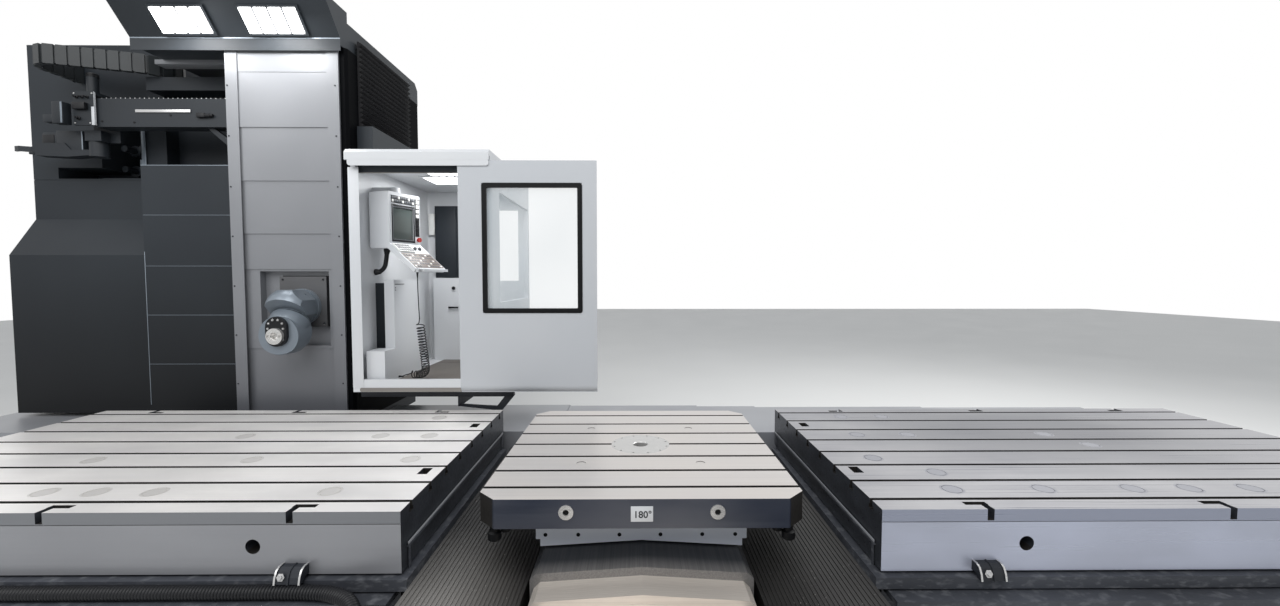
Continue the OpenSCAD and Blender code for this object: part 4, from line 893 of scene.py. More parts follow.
class Shape:
    """A mesh under construction, made of several simple forms that end up as one piece."""

    def __init__(self) -> None:
        """Starts an empty mesh."""
        self.mesh = bmesh.new()

    def box(self, low: Point, high: Point, edge: float = 0.0, turn: Matrix | None = None) -> "Shape":
        """Adds a box with broken edges.

        Args:
            low: its lowest corner.
            high: its highest corner.
            edge: the width of the broken edges.
            turn: a placing matrix that is applied last.

        Returns:
            The shape itself.
        """
        middle = [(a + b) / 2 for a, b in zip(low, high)]
        size = [b - a for a, b in zip(low, high)]
        placing = Matrix.Translation(middle) @ Matrix.Diagonal((*size, 1.0))
        made = bmesh.ops.create_cube(self.mesh, size=1.0, matrix=placing)["verts"]
        if edge:
            edges = list({e for v in made for e in v.link_edges})
            kept = bmesh.ops.bevel(
                self.mesh, geom=edges, offset=edge, offset_type="OFFSET", segments=2, profile=0.5,
                affect="EDGES",
            )
            made = list({v for f in kept["faces"] for v in f.verts} | {v for v in made if v.is_valid})
        if turn is not None:
            bmesh.ops.transform(self.mesh, matrix=turn, verts=[v for v in made if v.is_valid])
        return self

    def joined(self, rings: Sequence[Sequence[bmesh.types.BMVert]], closed: bool = False) -> "Shape":
        """Joins rings of points with faces.

        Args:
            rings: the rings, each with the same number of points.
            closed: whether the last ring joins the first one, in place of a cap on each.

        Returns:
            The shape itself.
        """
        pairs = list(zip(rings, rings[1:]))
        if closed:
            pairs.append((rings[-1], rings[0]))
        for lower, upper in pairs:
            for k in range(len(lower)):
                n = (k + 1) % len(lower)
                self.mesh.faces.new((lower[k], lower[n], upper[n], upper[k]))
        if not closed:
            self.mesh.faces.new(rings[0][::-1])
            self.mesh.faces.new(rings[-1])
        return self

    def turned(self, profile: Sequence[Pair], base: Point, along: Point, sides: int = 32) -> "Shape":
        """Adds a form turned from a profile.

        Args:
            profile: radius and height pairs, from one end of the axis to the other.
            base: the point of the axis with height 0.
            along: the axis direction.
            sides: how many sides it has.

        Returns:
            The shape itself.
        """
        placing = Matrix.Translation(base) @ Vector(along).to_track_quat("Z", "Y").to_matrix().to_4x4()
        rings = []
        for radius, height in profile:
            rings.append([
                self.mesh.verts.new(placing @ Vector((radius * math.cos(a), radius * math.sin(a), height)))
                for a in (2 * math.pi * k / sides for k in range(sides))
            ])
        return self.joined(rings)

    def drawn(self, outline: Sequence[Pair], axis: Axis, start: float, end: float) -> "Shape":
        """Adds a prism.

        Args:
            outline: points in the plane across the axis, in the order of the two other axes.
            axis: the direction in which it is drawn out.
            start: where it starts along the axis.
            end: where it ends along the axis.

        Returns:
            The shape itself.
        """
        return self.joined([
            [self.mesh.verts.new(in_space(pair, axis, at)) for pair in outline] for at in (start, end)
        ])

    def hollow(self, outer: Sequence[Pair], inner: Sequence[Pair], axis: Axis, start: float,
               end: float) -> "Shape":
        """Adds a prism with a hole, from two outlines with the same number of points.

        Args:
            outer: the outer outline, in the plane across the axis.
            inner: the hole's outline, in the same order.
            axis: the direction in which it is drawn out.
            start: where it starts along the axis.
            end: where it ends along the axis.

        Returns:
            The shape itself.
        """
        return self.joined([
            [self.mesh.verts.new(in_space(pair, axis, at)) for pair in outline]
            for outline, at in ((outer, start), (outer, end), (inner, end), (inner, start))
        ], closed=True)

    def tube(self, points: Sequence[Point], radius: float, sides: int = 10,
             radii: Sequence[float] | None = None) -> "Shape":
        """Adds a tube along a path.

        Args:
            points: the path.
            radius: the tube's radius.
            sides: how many sides it has.
            radii: a radius for each point, in place of one for all.

        Returns:
            The shape itself.
        """
        path = [Vector(p) for p in points]
        rings = []
        across = Vector((0.13, 1.0, 0.07))
        for i, here in enumerate(path):
            ahead = (path[min(i + 1, len(path) - 1)] - path[max(i - 1, 0)]).normalized()
            across = (across - ahead * across.dot(ahead)).normalized()
            other = ahead.cross(across)
            r = radii[i] if radii else radius
            rings.append([
                self.mesh.verts.new(here + r * (math.cos(a) * across + math.sin(a) * other))
                for a in (2 * math.pi * k / sides for k in range(sides))
            ])
        return self.joined(rings)

    def piece(self, name: str, finish: Finish, body: Body, smooth: float = 35.0) -> bpy.types.Object:
        """Ends the mesh and makes it a piece of the machine.

        Args:
            name: the piece's name.
            finish: its material.
            body: the body that it moves with.
            smooth: edges flatter than this many degrees are shaded smooth.

        Returns:
            The new object.
        """
        bmesh.ops.recalc_face_normals(self.mesh, faces=self.mesh.faces)
        data = bpy.data.meshes.new(name)
        self.mesh.to_mesh(data)
        self.mesh.free()
        made = bpy.data.objects.new(name, data)
        bpy.context.scene.collection.objects.link(made)
        data.materials.append(finish.material())
        data.shade_smooth()
        data.set_sharp_from_angle(angle=math.radians(smooth))
        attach(made, body.value)
        log.info("piece %s on %s, %d faces", name, body.value, len(data.polygons))
        return made


def cap_screw(shape: Shape, at: Point, radius: float, out: Point = FRONT) -> None:
    """Adds the head of a socket screw: a low drum with a rounded rim and a hollow.

    Args:
        shape: the mesh that it is added to.
        at: the foot of the head on the surface.
        radius: the head's radius.
        out: the direction that the head stands out.
    """
    r = radius
    profile = [(r, 0.0), (r, r * 0.5), (r * 0.9, r * 0.65), (r * 0.5, r * 0.65), (r * 0.5, r * 0.3)]
    shape.turned(profile, at, out, 14)


def cap_screws(shape: Shape, spots: Iterable[Pair], y: float, radius: float) -> None:
    """Adds socket screws on a face that looks to the front.

    Args:
        shape: the mesh that they are added to.
        spots: their places along X and Z.
        y: the face.
        radius: the heads' radius.
    """
    for x, z in spots:
        cap_screw(shape, (x, y, z), radius)


def rounded(low: Pair, high: Pair, radius: float, steps: int = 6) -> list[Pair]:
    """Returns the outline of a rectangle with rounded corners.

    Args:
        low: its lowest corner.
        high: its highest corner.
        radius: the corners' radius.
        steps: how many points a corner has.

    Returns:
        The outline's points, turning one way.
    """
    made = []
    for number, (cx, cy) in enumerate((
        (high[0] - radius, high[1] - radius), (low[0] + radius, high[1] - radius),
        (low[0] + radius, low[1] + radius), (high[0] - radius, low[1] + radius),
    )):
        for k in range(steps):
            a = math.radians(90 * number + 90 * k / (steps - 1))
            made.append((cx + radius * math.cos(a), cy + radius * math.sin(a)))
    return made


def smoothed(points: Sequence[Point], pitch: float) -> list[Point]:
    """Returns points at an even pitch along a smooth line through the given ones.

    Args:
        points: the points that the line goes through.
        pitch: the distance between the returned points.

    Returns:
        The points from the first to the last one.
    """
    path = [Vector(p) for p in points]
    ends = [path[0] * 2 - path[1], *path, path[-1] * 2 - path[-2]]
    dense: list[Vector] = []
    for a, b, c, d in zip(ends, ends[1:], ends[2:], ends[3:]):
        for k in range(24):
            t = k / 24
            dense.append(0.5 * ((2 * b) + (c - a) * t + (2 * a - 5 * b + 4 * c - d) * t * t
                                + (3 * b - 3 * c + d - a) * t ** 3))
    dense.append(path[-1])
    total = sum((b - a).length for a, b in zip(dense, dense[1:]))
    count = max(2, round(total / pitch))
    made: list[Point] = []
    walked, number = 0.0, 0
    for k in range(count):
        target = total * k / count
        while walked + (dense[number + 1] - dense[number]).length < target:
            walked += (dense[number + 1] - dense[number]).length
            number += 1
        step = (dense[number + 1] - dense[number]).length
        made.append(tuple(dense[number].lerp(dense[number + 1], (target - walked) / step)))
    made.append(tuple(dense[-1]))
    return made


def eased(share: float) -> float:
    """Gives a change a soft start and a soft end.

    Args:
        share: how far the change has come, held between 0 and 1.

    Returns:
        How far it has come when eased.
    """
    held = min(1.0, max(0.0, share))
    return held * held * (3 - 2 * held)


def finish_nodes(names: Iterable[str], finish: Finish) -> None:
    """Gives solids of the frame their finish.

    Args:
        names: the nodes.
        finish: the finish they get.
    """
    for name in names:
        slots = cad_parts[name].material_slots
        if not slots:
            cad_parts[name].data.materials.append(finish.material())
        for place in slots:
            place.material = finish.material()
        log.info("node %s is %s", name, finish.name)


def span(node: str) -> tuple[Vector, Vector]:
    """Finds where a solid of the frame lies.

    Args:
        node: the solid's name.

    Returns:
        Its lowest and its highest corner.
    """
    low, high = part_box(node)
    return Vector(low), Vector(high)


# Sub-assemblies


@dataclass
class Cords:
    """The free cords: the corrugated conduit in front and the cords of the cabin's panel.

    Attributes:
        conduit_radius: outside radius of the corrugated conduit over its ribs.
        conduit_z: height of its axis where it lies on the shelf.
        rib_pitch: distance between the conduit's ribs.
        rib_depths: how far its skin lies below the ribs' tops, at even steps along one rib.
        coil_radius: radius of the curly cord's turns, to the middle of the wire.
        wire_radius: radius of the curly cord's wire.
        turn_pitch: distance between two turns.
        turn_points: how many points each turn has.
        ease_points: over how many points the wire eases into its coil and out of it.
        hose_radius: radius of the panel's feed hose.
    """

    conduit_radius: float = 0.036
    conduit_z: float = 0.4312
    rib_pitch: float = 0.016
    rib_depths: tuple[float, ...] = (0.0, 0.0012, 0.0060, 0.0012)
    coil_radius: float = 0.033
    wire_radius: float = 0.0045
    turn_pitch: float = 0.027
    turn_points: int = 16
    ease_points: int = 40
    hose_radius: float = 0.020

    def build(self) -> None:
        """Makes the three cords."""
        self.conduit()
        self.curly_cord()
        self.panel_hose()

    def conduit_route(self) -> list[Point]:
        """Gives the conduit's route, the same as the solid's.

        Returns:
            The route's points.
        """
        z = self.conduit_z
        return [
            (-4.700, -1.118, z), (-4.550, -1.118, z), (-4.100, -1.120, z), (-3.600, -1.118, z),
            (-3.100, -1.119, z), (-2.600, -1.118, z), (-2.100, -1.119, z), (-1.800, -1.119, z),
            (-1.620, -1.124, z), (-1.520, -1.140, z + 0.001), (-1.420, -1.185, z + 0.001),
            (-1.350, -1.250, z - 0.020), (-1.310, -1.300, z - 0.070), (-1.295, -1.322, 0.285),
            (-1.288, -1.334, 0.200), (-1.286, -1.338, 0.110), (-1.286, -1.338, 0.0502),
        ]

    def conduit(self) -> None:
        """Makes the corrugated conduit along its route, in place of the plain solid."""
        depths = self.rib_depths
        fine = smoothed(self.conduit_route(), self.rib_pitch / len(depths))
        radii = [self.conduit_radius - depths[k % len(depths)] for k in range(len(fine))]
        made = Shape().tube(fine, self.conduit_radius, 16, radii).piece(
            "corrugated_conduit", BLACK_PLASTIC, Body.BED, 50.0
        )
        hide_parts("cable_conduit")

    def curly_route(self) -> list[Point]:
        """Gives the curly cord's route, the same as the solid's.

        Returns:
            The route's points.
        """
        return [
            (-1.984, 1.012, 2.033), (-1.984, 1.013, 1.900), (-1.983, 1.020, 1.750), (-1.982, 1.032, 1.610),
            (-1.982, 1.033, 1.604), (-1.981, 1.070, 1.450), (-1.982, 1.110, 1.300), (-1.990, 1.160, 1.180),
            (-2.010, 1.205, 1.112), (-2.050, 1.240, 1.076), (-2.110, 1.262, 1.064), (-2.170, 1.275, 1.063),
            (-2.225, 1.285, 1.058), (-2.229, 1.286, 1.057), (-2.255, 1.290, 1.046), (-2.275, 1.292, 1.041),
            (-2.2998, 1.292, 1.040),
        ]

    def curly_cord(self) -> None:
        """Winds the curly cord: a straight wire down from the panel, a long coil and a short lead."""
        route = self.curly_route()
        lead = smoothed(route[:4], 0.02)
        core = smoothed(route[3:13], self.turn_pitch / self.turn_points)
        tail = smoothed(route[12:], 0.008)
        across = Vector((0.05, -1.0, 0.0))
        coil: list[Point] = []
        last, turn = len(core) - 1, 0.0
        for k, here in enumerate(core):
            before, after = core[max(k - 1, 0)], core[min(k + 1, last)]
            ahead = (Vector(after) - Vector(before)).normalized()
            across = (across - ahead * across.dot(ahead)).normalized()
            other = ahead.cross(across)
            share = min(k, last - k) / self.ease_points
            turn += 2 * math.pi / self.turn_points * eased(share - 0.5)
            radius = self.coil_radius * eased(share)
            coil.append(tuple(Vector(here) + radius * (math.cos(turn) * across + math.sin(turn) * other)))
        path = lead[:-1] + coil + tail[1:]
        made = Shape().tube(path, self.wire_radius, 8).piece(
            "curly_cord_wire", BLACK_PLASTIC, Body.CABIN, 60.0
        )
        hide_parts("curly_cord")
        reliefs = Shape()
        for at, along in ((route[0], (0, 0, -1)), (route[-1], (1, 0, 0))):
            reliefs.turned(
                [(0.0095, 0.0), (0.0095, 0.010), (0.0082, 0.014), (0.0072, 0.030), (0.0058, 0.046),
                 (0.0050, 0.047)], at, along, 16,
            )
        relief = reliefs.piece("curly_cord_reliefs", BLACK_PLASTIC, Body.CABIN)

    def panel_hose(self) -> None:
        """Bends the feed hose from the wall up into the panel's underside, with a nut at each end."""
        path = smoothed(
            [(-2.5068, 1.300, 2.036), (-2.478, 1.300, 2.038), (-2.440, 1.300, 2.056), (-2.412, 1.300, 2.094),
             (-2.400, 1.300, 2.146), (-2.393, 1.300, 2.200), (-2.388, 1.300, 2.2556)], 0.010,
        )
        made = Shape().tube(path, self.hose_radius, 16).piece(
            "panel_feed_hose", BLACK_PLASTIC, Body.CABIN, 60.0
        )
        nuts = Shape()
        nut = [(0.027, 0.0), (0.029, 0.003), (0.029, 0.022), (0.025, 0.030), (0.0215, 0.052), (0.020, 0.054)]
        nuts.turned(nut, path[0], (1, 0, 0.08), 12)
        nuts.turned(nut, (path[-1][0], path[-1][1], 2.2559), (-0.09, 0, -1), 12)
        nut_piece = nuts.piece("panel_hose_nuts", BLACK_PLASTIC, Body.CABIN)


@dataclass
class FloorPlates:
    """The two T-slotted plates with their plinths, anchor caps and clamps.

    Attributes:
        gutter_x: how far the gutter rails stand from the table's axis.
        clamp_x: the places of the clamps at each side.
        clamp_z: the height of their middle.
        cheek_x: where a clamp's two cheeks start, from its middle.
        cheek_w: how thick a cheek's edge is.
    """

    gutter_x: float = 1.2075
    clamp_x: tuple[float, ...] = (1.750, 4.180)
    clamp_z: float = 0.468
    cheek_x: Pair = (-0.0656, 0.0564)
    cheek_w: float = 0.0092

    def build(self) -> None:
        """Finishes the plates and adds their small parts."""
        # The plates' finishes carry painted light: a lit copy on the left, a shaded copy on the right.
        finish_nodes(("left_floor_plate",), LEFT_IRON)
        finish_nodes(("right_floor_plate",), RIGHT_IRON)
        finish_nodes(("anchor_caps",), CAP_STEEL)
        finish_nodes(("plate_plinths",), PLINTH)
        finish_nodes(("clamp_brackets",), DARK_CASTING)
        self.clamp_parts()
        self.gutter_lips()
        self.conduit_glands()

    def clamp_parts(self) -> None:
        """Gives each clamp its bright cheek edges and its bolt."""
        front = span("left_floor_plate")[0].y - 0.0003
        cheek = [(0.0, 0.0725), (-0.0322, 0.0725), (-0.0564, 0.0603), (-0.0715, 0.0322), (-0.0785, 0.0)]
        inner = [(0.0, 0.0695), (-0.0315, 0.0695), (-0.0546, 0.0580), (-0.0690, 0.0315), (-0.0755, 0.0)]
        edges, bolts = Shape(), Shape()
        for side in (-1, 1):
            for middle in self.clamp_x:
                x = side * middle
                outline = [(front + y, self.clamp_z + z) for y, z in cheek + inner[::-1]]
                for start in self.cheek_x:
                    edges.drawn(outline, Axis.X, x + start, x + start + self.cheek_w)
                bolts.turned(
                    [(0.019, 0.0), (0.020, 0.001), (0.020, 0.003), (0.0125, 0.0035), (0.0125, 0.011),
                     (0.0110, 0.013)],
                    (x - 0.028, front - 0.0735, self.clamp_z + 0.0382), (0, -0.966, 0.259), 6,
                )
        edges.piece("clamp_cheek_edges", BRIGHT_STEEL, Body.BED)
        bolts.piece("clamp_bolts", BRIGHT_STEEL, Body.BED)

    def gutter_lips(self) -> None:
        """Lays a bright lip along the top of each gutter at the plates' inner sides."""
        low, high = span("left_floor_plate")
        lips = Shape()
        for side in (-1, 1):
            x0, x1 = sorted((side * (self.gutter_x - 0.0004), side * (self.gutter_x + 0.0050)))
            lips.box((x0, low.y + 0.0595, 0.5995), (x1, high.y - 0.0595, 0.6128), 0.001)
        lips.piece("gutter_lips", BED_SHEET, Body.BED)

    def conduit_glands(self) -> None:
        """Puts a ribbed gland nut round each end of the conduit."""
        nuts = Shape()
        nut = [
            (0.0385, 0.0), (0.046, 0.001), (0.046, 0.012), (0.043, 0.014), (0.043, 0.022), (0.0385, 0.024),
        ]
        nuts.turned(nut, (-4.7001, -1.118, 0.4382), (1, 0, 0), 12)
        nuts.turned(nut, (-1.286, -1.338, 0.0501), UP, 12)
        nuts.piece("conduit_gland_nuts", BLACK_PLASTIC, Body.BED)


@dataclass
class TableGroup:
    """The rotary table, its saddle, the slide below and the covers round them.

    Attributes:
        rim_screws: how many screws hold the middle disc.
        screw_radius: radius of their heads.
        screw_circle: radius of the circle that they lie on.
        first_screw: where on that circle the first one lies, in degrees.
        screw_depth: how deep they are sunk.
        under_z: the table's underside.
        feet_x: distance of the rubber stops from the table's axis.
        small_feet_x: distance of the small stops beside them from that axis.
        plate_w: width of the plate with the table's angle.
        plate_h: height of that plate.
        plug_x: distance of the ring plugs from the table's middle.
        hole_x: the places of the holes in the saddle's front.
        hole_z: their height.
    """

    rim_screws: int = 12
    screw_radius: float = 0.0065
    screw_circle: float = 0.189
    first_screw: float = 15.0
    screw_depth: float = 0.008
    under_z: float = 0.640
    feet_x: float = 0.80
    small_feet_x: float = 0.74
    plate_w: float = 0.119
    plate_h: float = 0.083
    plug_x: float = 0.405
    hole_x: tuple[float, ...] = (-0.562, -0.370, -0.129, 0.112, 0.357, 0.551)
    hole_z: float = 0.475

    def build(self) -> None:
        """Finishes the table and adds its small parts."""
        finish_nodes(("rotary_table",), TABLE_IRON)
        finish_nodes(("table_disc",), DISC_STEEL)
        finish_nodes(("ring_plugs",), BRIGHT_STEEL)
        self.plug_bore_shades()
        self.saddle_skirt()
        finish_nodes(("table_saddle",), SADDLE_ENAMEL_PAINTED_LIGHT)
        finish_nodes(("saddle_covers",), FIRST_COVER)
        finish_nodes(("slide_cover_2", "slide_cover_3", "slide_end_covers", "rear_cover_2"), SLIDE_SHEET)
        finish_nodes(("slide_bed",), DARK_CASTING)
        finish_nodes(("trough_covers",), TROUGH)
        self.disc_screws()
        self.saddle_holes()
        self.feet()
        self.angle_plate()

    def disc_screws(self) -> None:
        """Sinks a screw in each hole of the disc's rim."""
        top = span("table_disc")[1].z
        heads = Shape()
        r = self.screw_circle
        for i in range(self.rim_screws):
            a = math.radians(i * 360 / self.rim_screws + self.first_screw)
            at = (r * math.cos(a), r * math.sin(a), top - self.screw_depth)
            cap_screw(heads, at, self.screw_radius, UP)
        heads.piece("disc_screws", DARK_CASTING, Body.TABLE)

    def saddle_holes(self) -> None:
        """Puts a row of black discs in the saddle's front plate, a painted shade for its small holes."""
        front = span("table_saddle")[0].y
        plugs = Shape()
        for x in self.hole_x:
            plugs.turned(
                [(0.0115, -0.004), (0.0115, 0.0012), (0.0100, 0.0020), (0.0070, 0.0020), (0.0060, 0.0006)],
                (x, front, self.hole_z), FRONT, 20,
            )
        plugs.piece("saddle_hole_shades", BLACK_GASKET, Body.TABLE_SLIDE)

    def feet(self) -> None:
        """Hangs a rubber stop below each front corner of the table."""
        low = span("rotary_table")[0]
        stops = Shape()
        for side in (-1, 1):
            stops.turned(
                [(0.030, -0.082), (0.036, -0.076), (0.036, -0.040), (0.024, -0.032), (0.024, 0.0)],
                (side * self.feet_x, low.y + 0.052, self.under_z), UP, 20,
            )
            stops.turned(
                [(0.020, -0.040), (0.026, -0.036), (0.026, 0.0)],
                (side * self.small_feet_x, low.y + 0.060, self.under_z), UP, 16,
            )
        stops.piece("table_rubber_stops", BLACK_GASKET, Body.TABLE)

    def plug_bore_shades(self) -> None:
        """Puts a black disc in the bore of each ring plug in the table's front, a painted shade for the
        depth of the bore.
        """
        low, high = span("ring_plugs")
        bores = Shape()
        for x in (-self.plug_x, self.plug_x):
            bores.turned([(0.0157, 0.0), (0.0157, 0.004), (0.011, 0.006), (0.005, 0.0045)],
                         (x, low.y + 0.014, (low.z + high.z) / 2), FRONT, 24)
        bores.piece("plug_bore_shades", BLACK_GASKET, Body.TABLE)

    def saddle_skirt(self) -> None:
        """Closes the gap below the saddle's front plate with a skirt over the cover's peak, in the saddle's
        enamel with its painted light.
        """
        front = span("table_saddle")[0].y
        outline = [(-0.592, 0.4545), (-0.592, 0.4075), (0.0, 0.4425), (0.592, 0.4075), (0.592, 0.4545)]
        Shape().drawn(outline, Axis.Y, front - 0.0004, front + 0.0040).piece(
            "saddle_front_skirt", SADDLE_ENAMEL_PAINTED_LIGHT, Body.TABLE_SLIDE
        )

    def angle_plate(self) -> None:
        """Screws a small plate with a degree reading to the table's front face."""
        low, high = span("rotary_table")
        z = (self.under_z + high.z) / 2
        half_w, half_h = self.plate_w / 2, self.plate_h / 2
        Shape().box((-half_w, low.y - 0.004, z - half_h), (half_w, low.y + 0.0005, z + half_h), 0.001).piece(
            "angle_plate", CABIN_ENAMEL, Body.TABLE
        )
        curve = bpy.data.curves.new("angle_reading", "FONT")
        curve.body = "180°"
        curve.size = 0.052
        curve.align_x = "CENTER"
        curve.align_y = "CENTER"
        curve.extrude = 0.0004
        curve.offset = 0.0008
        text = bpy.data.objects.new("angle_reading", curve)
        bpy.context.scene.collection.objects.link(text)
        text.location = (0.004, low.y - 0.0045, z - 0.004)
        text.rotation_euler = (math.pi / 2, 0, 0)
        curve.materials.append(DARK_CASTING.material())
        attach(text, Body.TABLE.value)


@dataclass
class ColumnGroup:
    """The bed, the column with its covers and hood, the claddings and the tool changer beside it.

    Attributes:
        screw_z: the heights of the screws on the front frame's uprights.
        stile_x: the places of the two rows of screws.
        cladding_seams: the heights of the seams in the cladding beside the column.
        cladding_x: its left and right edges.
        lamp_x: where each lamp starts and ends.
        lamp_foot: the lower front edge of the hood's slanted face, along Y and Z.
        lamp_slope: how far that face leans, in degrees.
        lamp_deep: how far the lamps stand out of it.
        lobes: how many lenses a lamp has.
        tooth_pitch: the pitch of the beam's teeth.
        teeth: how many of them have a bright edge.
    """

    screw_z: tuple[float, ...] = (0.985, 1.445, 1.905, 2.368, 2.825, 3.290, 3.748)
    stile_x: tuple[float, ...] = (-3.782, -2.797)
    cladding_seams: tuple[float, ...] = (1.127, 1.615, 2.099, 2.598)
    cladding_x: Pair = (-4.862, -3.802)
    lamp_x: tuple[Pair, ...] = ((-4.297, -3.805), (-3.522, -2.982))
    lamp_foot: Pair = (1.200, 4.163)
    lamp_slope: float = math.degrees(math.atan2(267, 235))
    lamp_deep: float = 0.020
    lobes: int = 4
    tooth_pitch: float = 0.046
    teeth: int = 30

    def build(self) -> None:
        """Finishes the column and adds its small parts."""
        finish_nodes(("x_bed",), DARK_CASTING)
        finish_nodes(
            ("bed_end_covers", "column_bed_covers", "right_cover_2", "right_cover_3", "right_cover_4",
             "left_cover_2", "left_cover_3"), BED_SHEET,
        )
        finish_nodes(("column", "head_carriage"), DARK_CASTING)
        finish_nodes(
            ("column_frame", "front_covers_fixed", "head_covers", "upper_cover_1", "upper_cover_2",
             "lower_cover_2", "head_apron"), COLUMN_SHEET,
        )
        finish_nodes(("hood", "work_lamps"), HOOD_SHEET)
        finish_nodes(("left_cladding", "magazine_housing"), DARK_SHEET)
        # The side sheets carry painted shade for the gap between frame and cabin.
        finish_nodes(("column_sides",), BLACK_SHEET)
        finish_nodes(("changer_beam", "changer_carriage", "changer_arm"), CHANGER_ENAMEL)
        finish_nodes(("energy_chain",), CHAIN_PLASTIC)
        finish_nodes(("side_bellows",), BELT)
        self.frame_screws()
        self.seam_lips()
        self.lamp_lobes()
        self.hood_trim()
        self.left_edges()
        self.changer_parts()
        self.beam_parts()

    def frame_screws(self) -> None:
        """Puts the rows of small screws on the front frame's uprights."""
        low = span("column_frame")[0]
        heads = Shape()
        for x in self.stile_x:
            cap_screws(heads, ((x, z) for z in self.screw_z), low.y, 0.007)
        heads.piece("frame_screws", DARK_CASTING, Body.COLUMN)

    def seam_lips(self) -> None:
        """Lays the lighter sheet edges that show in the seams of the left cladding."""
        left, right = self.cladding_x
        lips = Shape()
        for z in self.cladding_seams:
            lips.box((left + 0.002, 1.5008, z - 0.0022), (right - 0.002, 1.5048, z + 0.0018), 0.0004)
        lips.piece("cladding_seam_edges", HEAD_ENAMEL, Body.COLUMN)

    def left_edges(self) -> None:
        """Adds the pale edge strips and the header panel of the claddings on the left."""
        left, right = self.cladding_x
        strips = Shape().box((left - 0.0012, 1.4986, 0.720), (left + 0.0055, 1.5003, 2.240), 0.0006)
        strips.box((left + 0.001, 1.4986, 3.0765), (right - 0.001, 1.5003, 3.0835), 0.0006)
        strips.box((-5.2060, 1.8838, 3.0775), (-5.1640, 1.8862, 3.5810), 0.0008)
        strips.box((-5.2270, 1.8838, 3.0775), (-5.2045, 1.8862, 3.2190), 0.0008)
        strips.piece("cladding_edge_strips", HEAD_ENAMEL, Body.COLUMN)
        header = Shape().box((-4.700, 1.5200, 4.0605), (right - 0.003, 1.5300, 4.0997), 0.002)
        header.box((-4.700, 1.5202, 4.0560), (right - 0.003, 1.6400, 4.0640), 0.001)
        header.piece("cladding_header_panel", COLUMN_SHEET, Body.COLUMN)

    def lamp_frame(self, start: float) -> Matrix:
        """Places a lamp on the hood's slanted face: its own X along the hood, its own Z up the slope.

        Args:
            start: the X at which the lamp starts.

        Returns:
            Its placing matrix.
        """
        y, z = self.lamp_foot
        return (
            Matrix.Translation((start, y, z)) @ Matrix.Rotation(math.radians(90 - self.lamp_slope), 4, "X")
            @ Matrix.Translation((0, -self.lamp_deep - 0.0003, 0))
        )

    def lamp_lobes(self) -> None:
        """Fills the windows of both work lamps with their lit, domed lenses."""
        lit, rims = Shape(), Shape()
        for start, end in self.lamp_x:
            pitch = (end - start - 0.028) / self.lobes
            placing = self.lamp_frame(start)
            for i in range(self.lobes):
                x0 = 0.014 + i * pitch
                lit.box((x0 + 0.007, -0.0100, 0.0400), (x0 + pitch - 0.017, 0.0045, 0.2500), 0.0072, placing)
                rims.box((x0 + 0.0005, 0.0030, 0.0345), (x0 + pitch - 0.0085, 0.0049, 0.2555), 0.0, placing)
        lit.piece("work_lamp_lenses", LAMP_FACE, Body.COLUMN)
        rims.piece("work_lamp_reflectors", BRIGHT_STEEL, Body.COLUMN)

    def hood_trim(self) -> None:
        """Runs a bright trim along the hood's lower front edge."""
        low, high = span("hood")
        y, z = self.lamp_foot
        outline = [
            (y - 0.002, z - 0.009), (y - 0.002, z + 0.001), (y + 0.001, z + 0.001), (y + 0.001, z - 0.009),
        ]
        Shape().drawn(outline, Axis.X, low.x + 0.001, high.x - 0.001).piece(
            "hood_edge_trim", HEAD_ENAMEL, Body.COLUMN
        )

    def changer_parts(self) -> None:
        """Adds fittings and bright edges to the changer's carriage and the housing above its arm."""
        low, high = span("changer_carriage")
        edge = Shape().box((-5.2770, low.y - 0.0030, 3.4560), (-5.2495, low.y + 0.0175, 3.6300), 0.001)
        edge.box((-5.2512, low.y - 0.0012, 3.6300), (-5.2495, low.y + 0.0175, 3.7740), 0.0005)
        edge.piece("changer_plate_edges", CABIN_ENAMEL, Body.CHANGER)
        fittings = Shape()
        for x, z, r in (
            (-5.41, 3.72, 0.014), (-5.36, 3.72, 0.014), (-5.31, 3.72, 0.014), (-5.40, 3.52, 0.018),
        ):
            collar, stem = r * 0.7, r * 0.45
            fittings.turned(
                [(r, 0.0), (r, 0.010), (collar, 0.012), (collar, 0.028), (stem, 0.030), (stem, 0.045)],
                (x, low.y, z), FRONT, 14,
            )
        fittings.box((-5.430, low.y - 0.036, 3.600), (-5.310, low.y + 0.001, 3.665), 0.004)
        fittings.turned(
            [(0.050, 0.0), (0.050, 0.004), (0.047, 0.010), (0.047, 0.030), (0.030, 0.038), (0.012, 0.040)],
            (-5.360, 1.575, high.z - 0.0005), UP, 28,
        )
        fittings.piece("changer_valves", BLACK_PLASTIC, Body.CHANGER)
        drive = Shape().box((-5.590, low.y - 0.0640, 3.4560), (-5.4855, low.y + 0.0170, 3.6600), 0.006)
        drive.box((-5.690, low.y - 0.0500, 3.4700), (-5.588, low.y + 0.0100, 3.5400), 0.004)
        drive.piece("changer_drive_box", CHANGER_ENAMEL, Body.CHANGER)
        Shape().box((-5.5080, low.y - 0.0655, 3.4600), (-5.4900, low.y - 0.0635, 3.6560), 0.0006).piece(
            "changer_drive_edge", HEAD_ENAMEL, Body.CHANGER
        )
        bolts = Shape()
        cap_screws(
            bolts, ((-5.435, 3.475), (-5.290, 3.475), (-5.435, 3.757), (-5.265, 3.757), (-5.435, 3.640)),
            low.y, 0.008,
        )
        bolts.piece("changer_plate_bolts", BRIGHT_STEEL, Body.CHANGER)
        housing = Shape().box((-5.765, 1.5935, 3.196), (-5.505, 1.6900, 3.438), 0.006)
        housing.box((-5.905, 1.6000, 3.290), (-5.760, 1.6800, 3.420), 0.006)
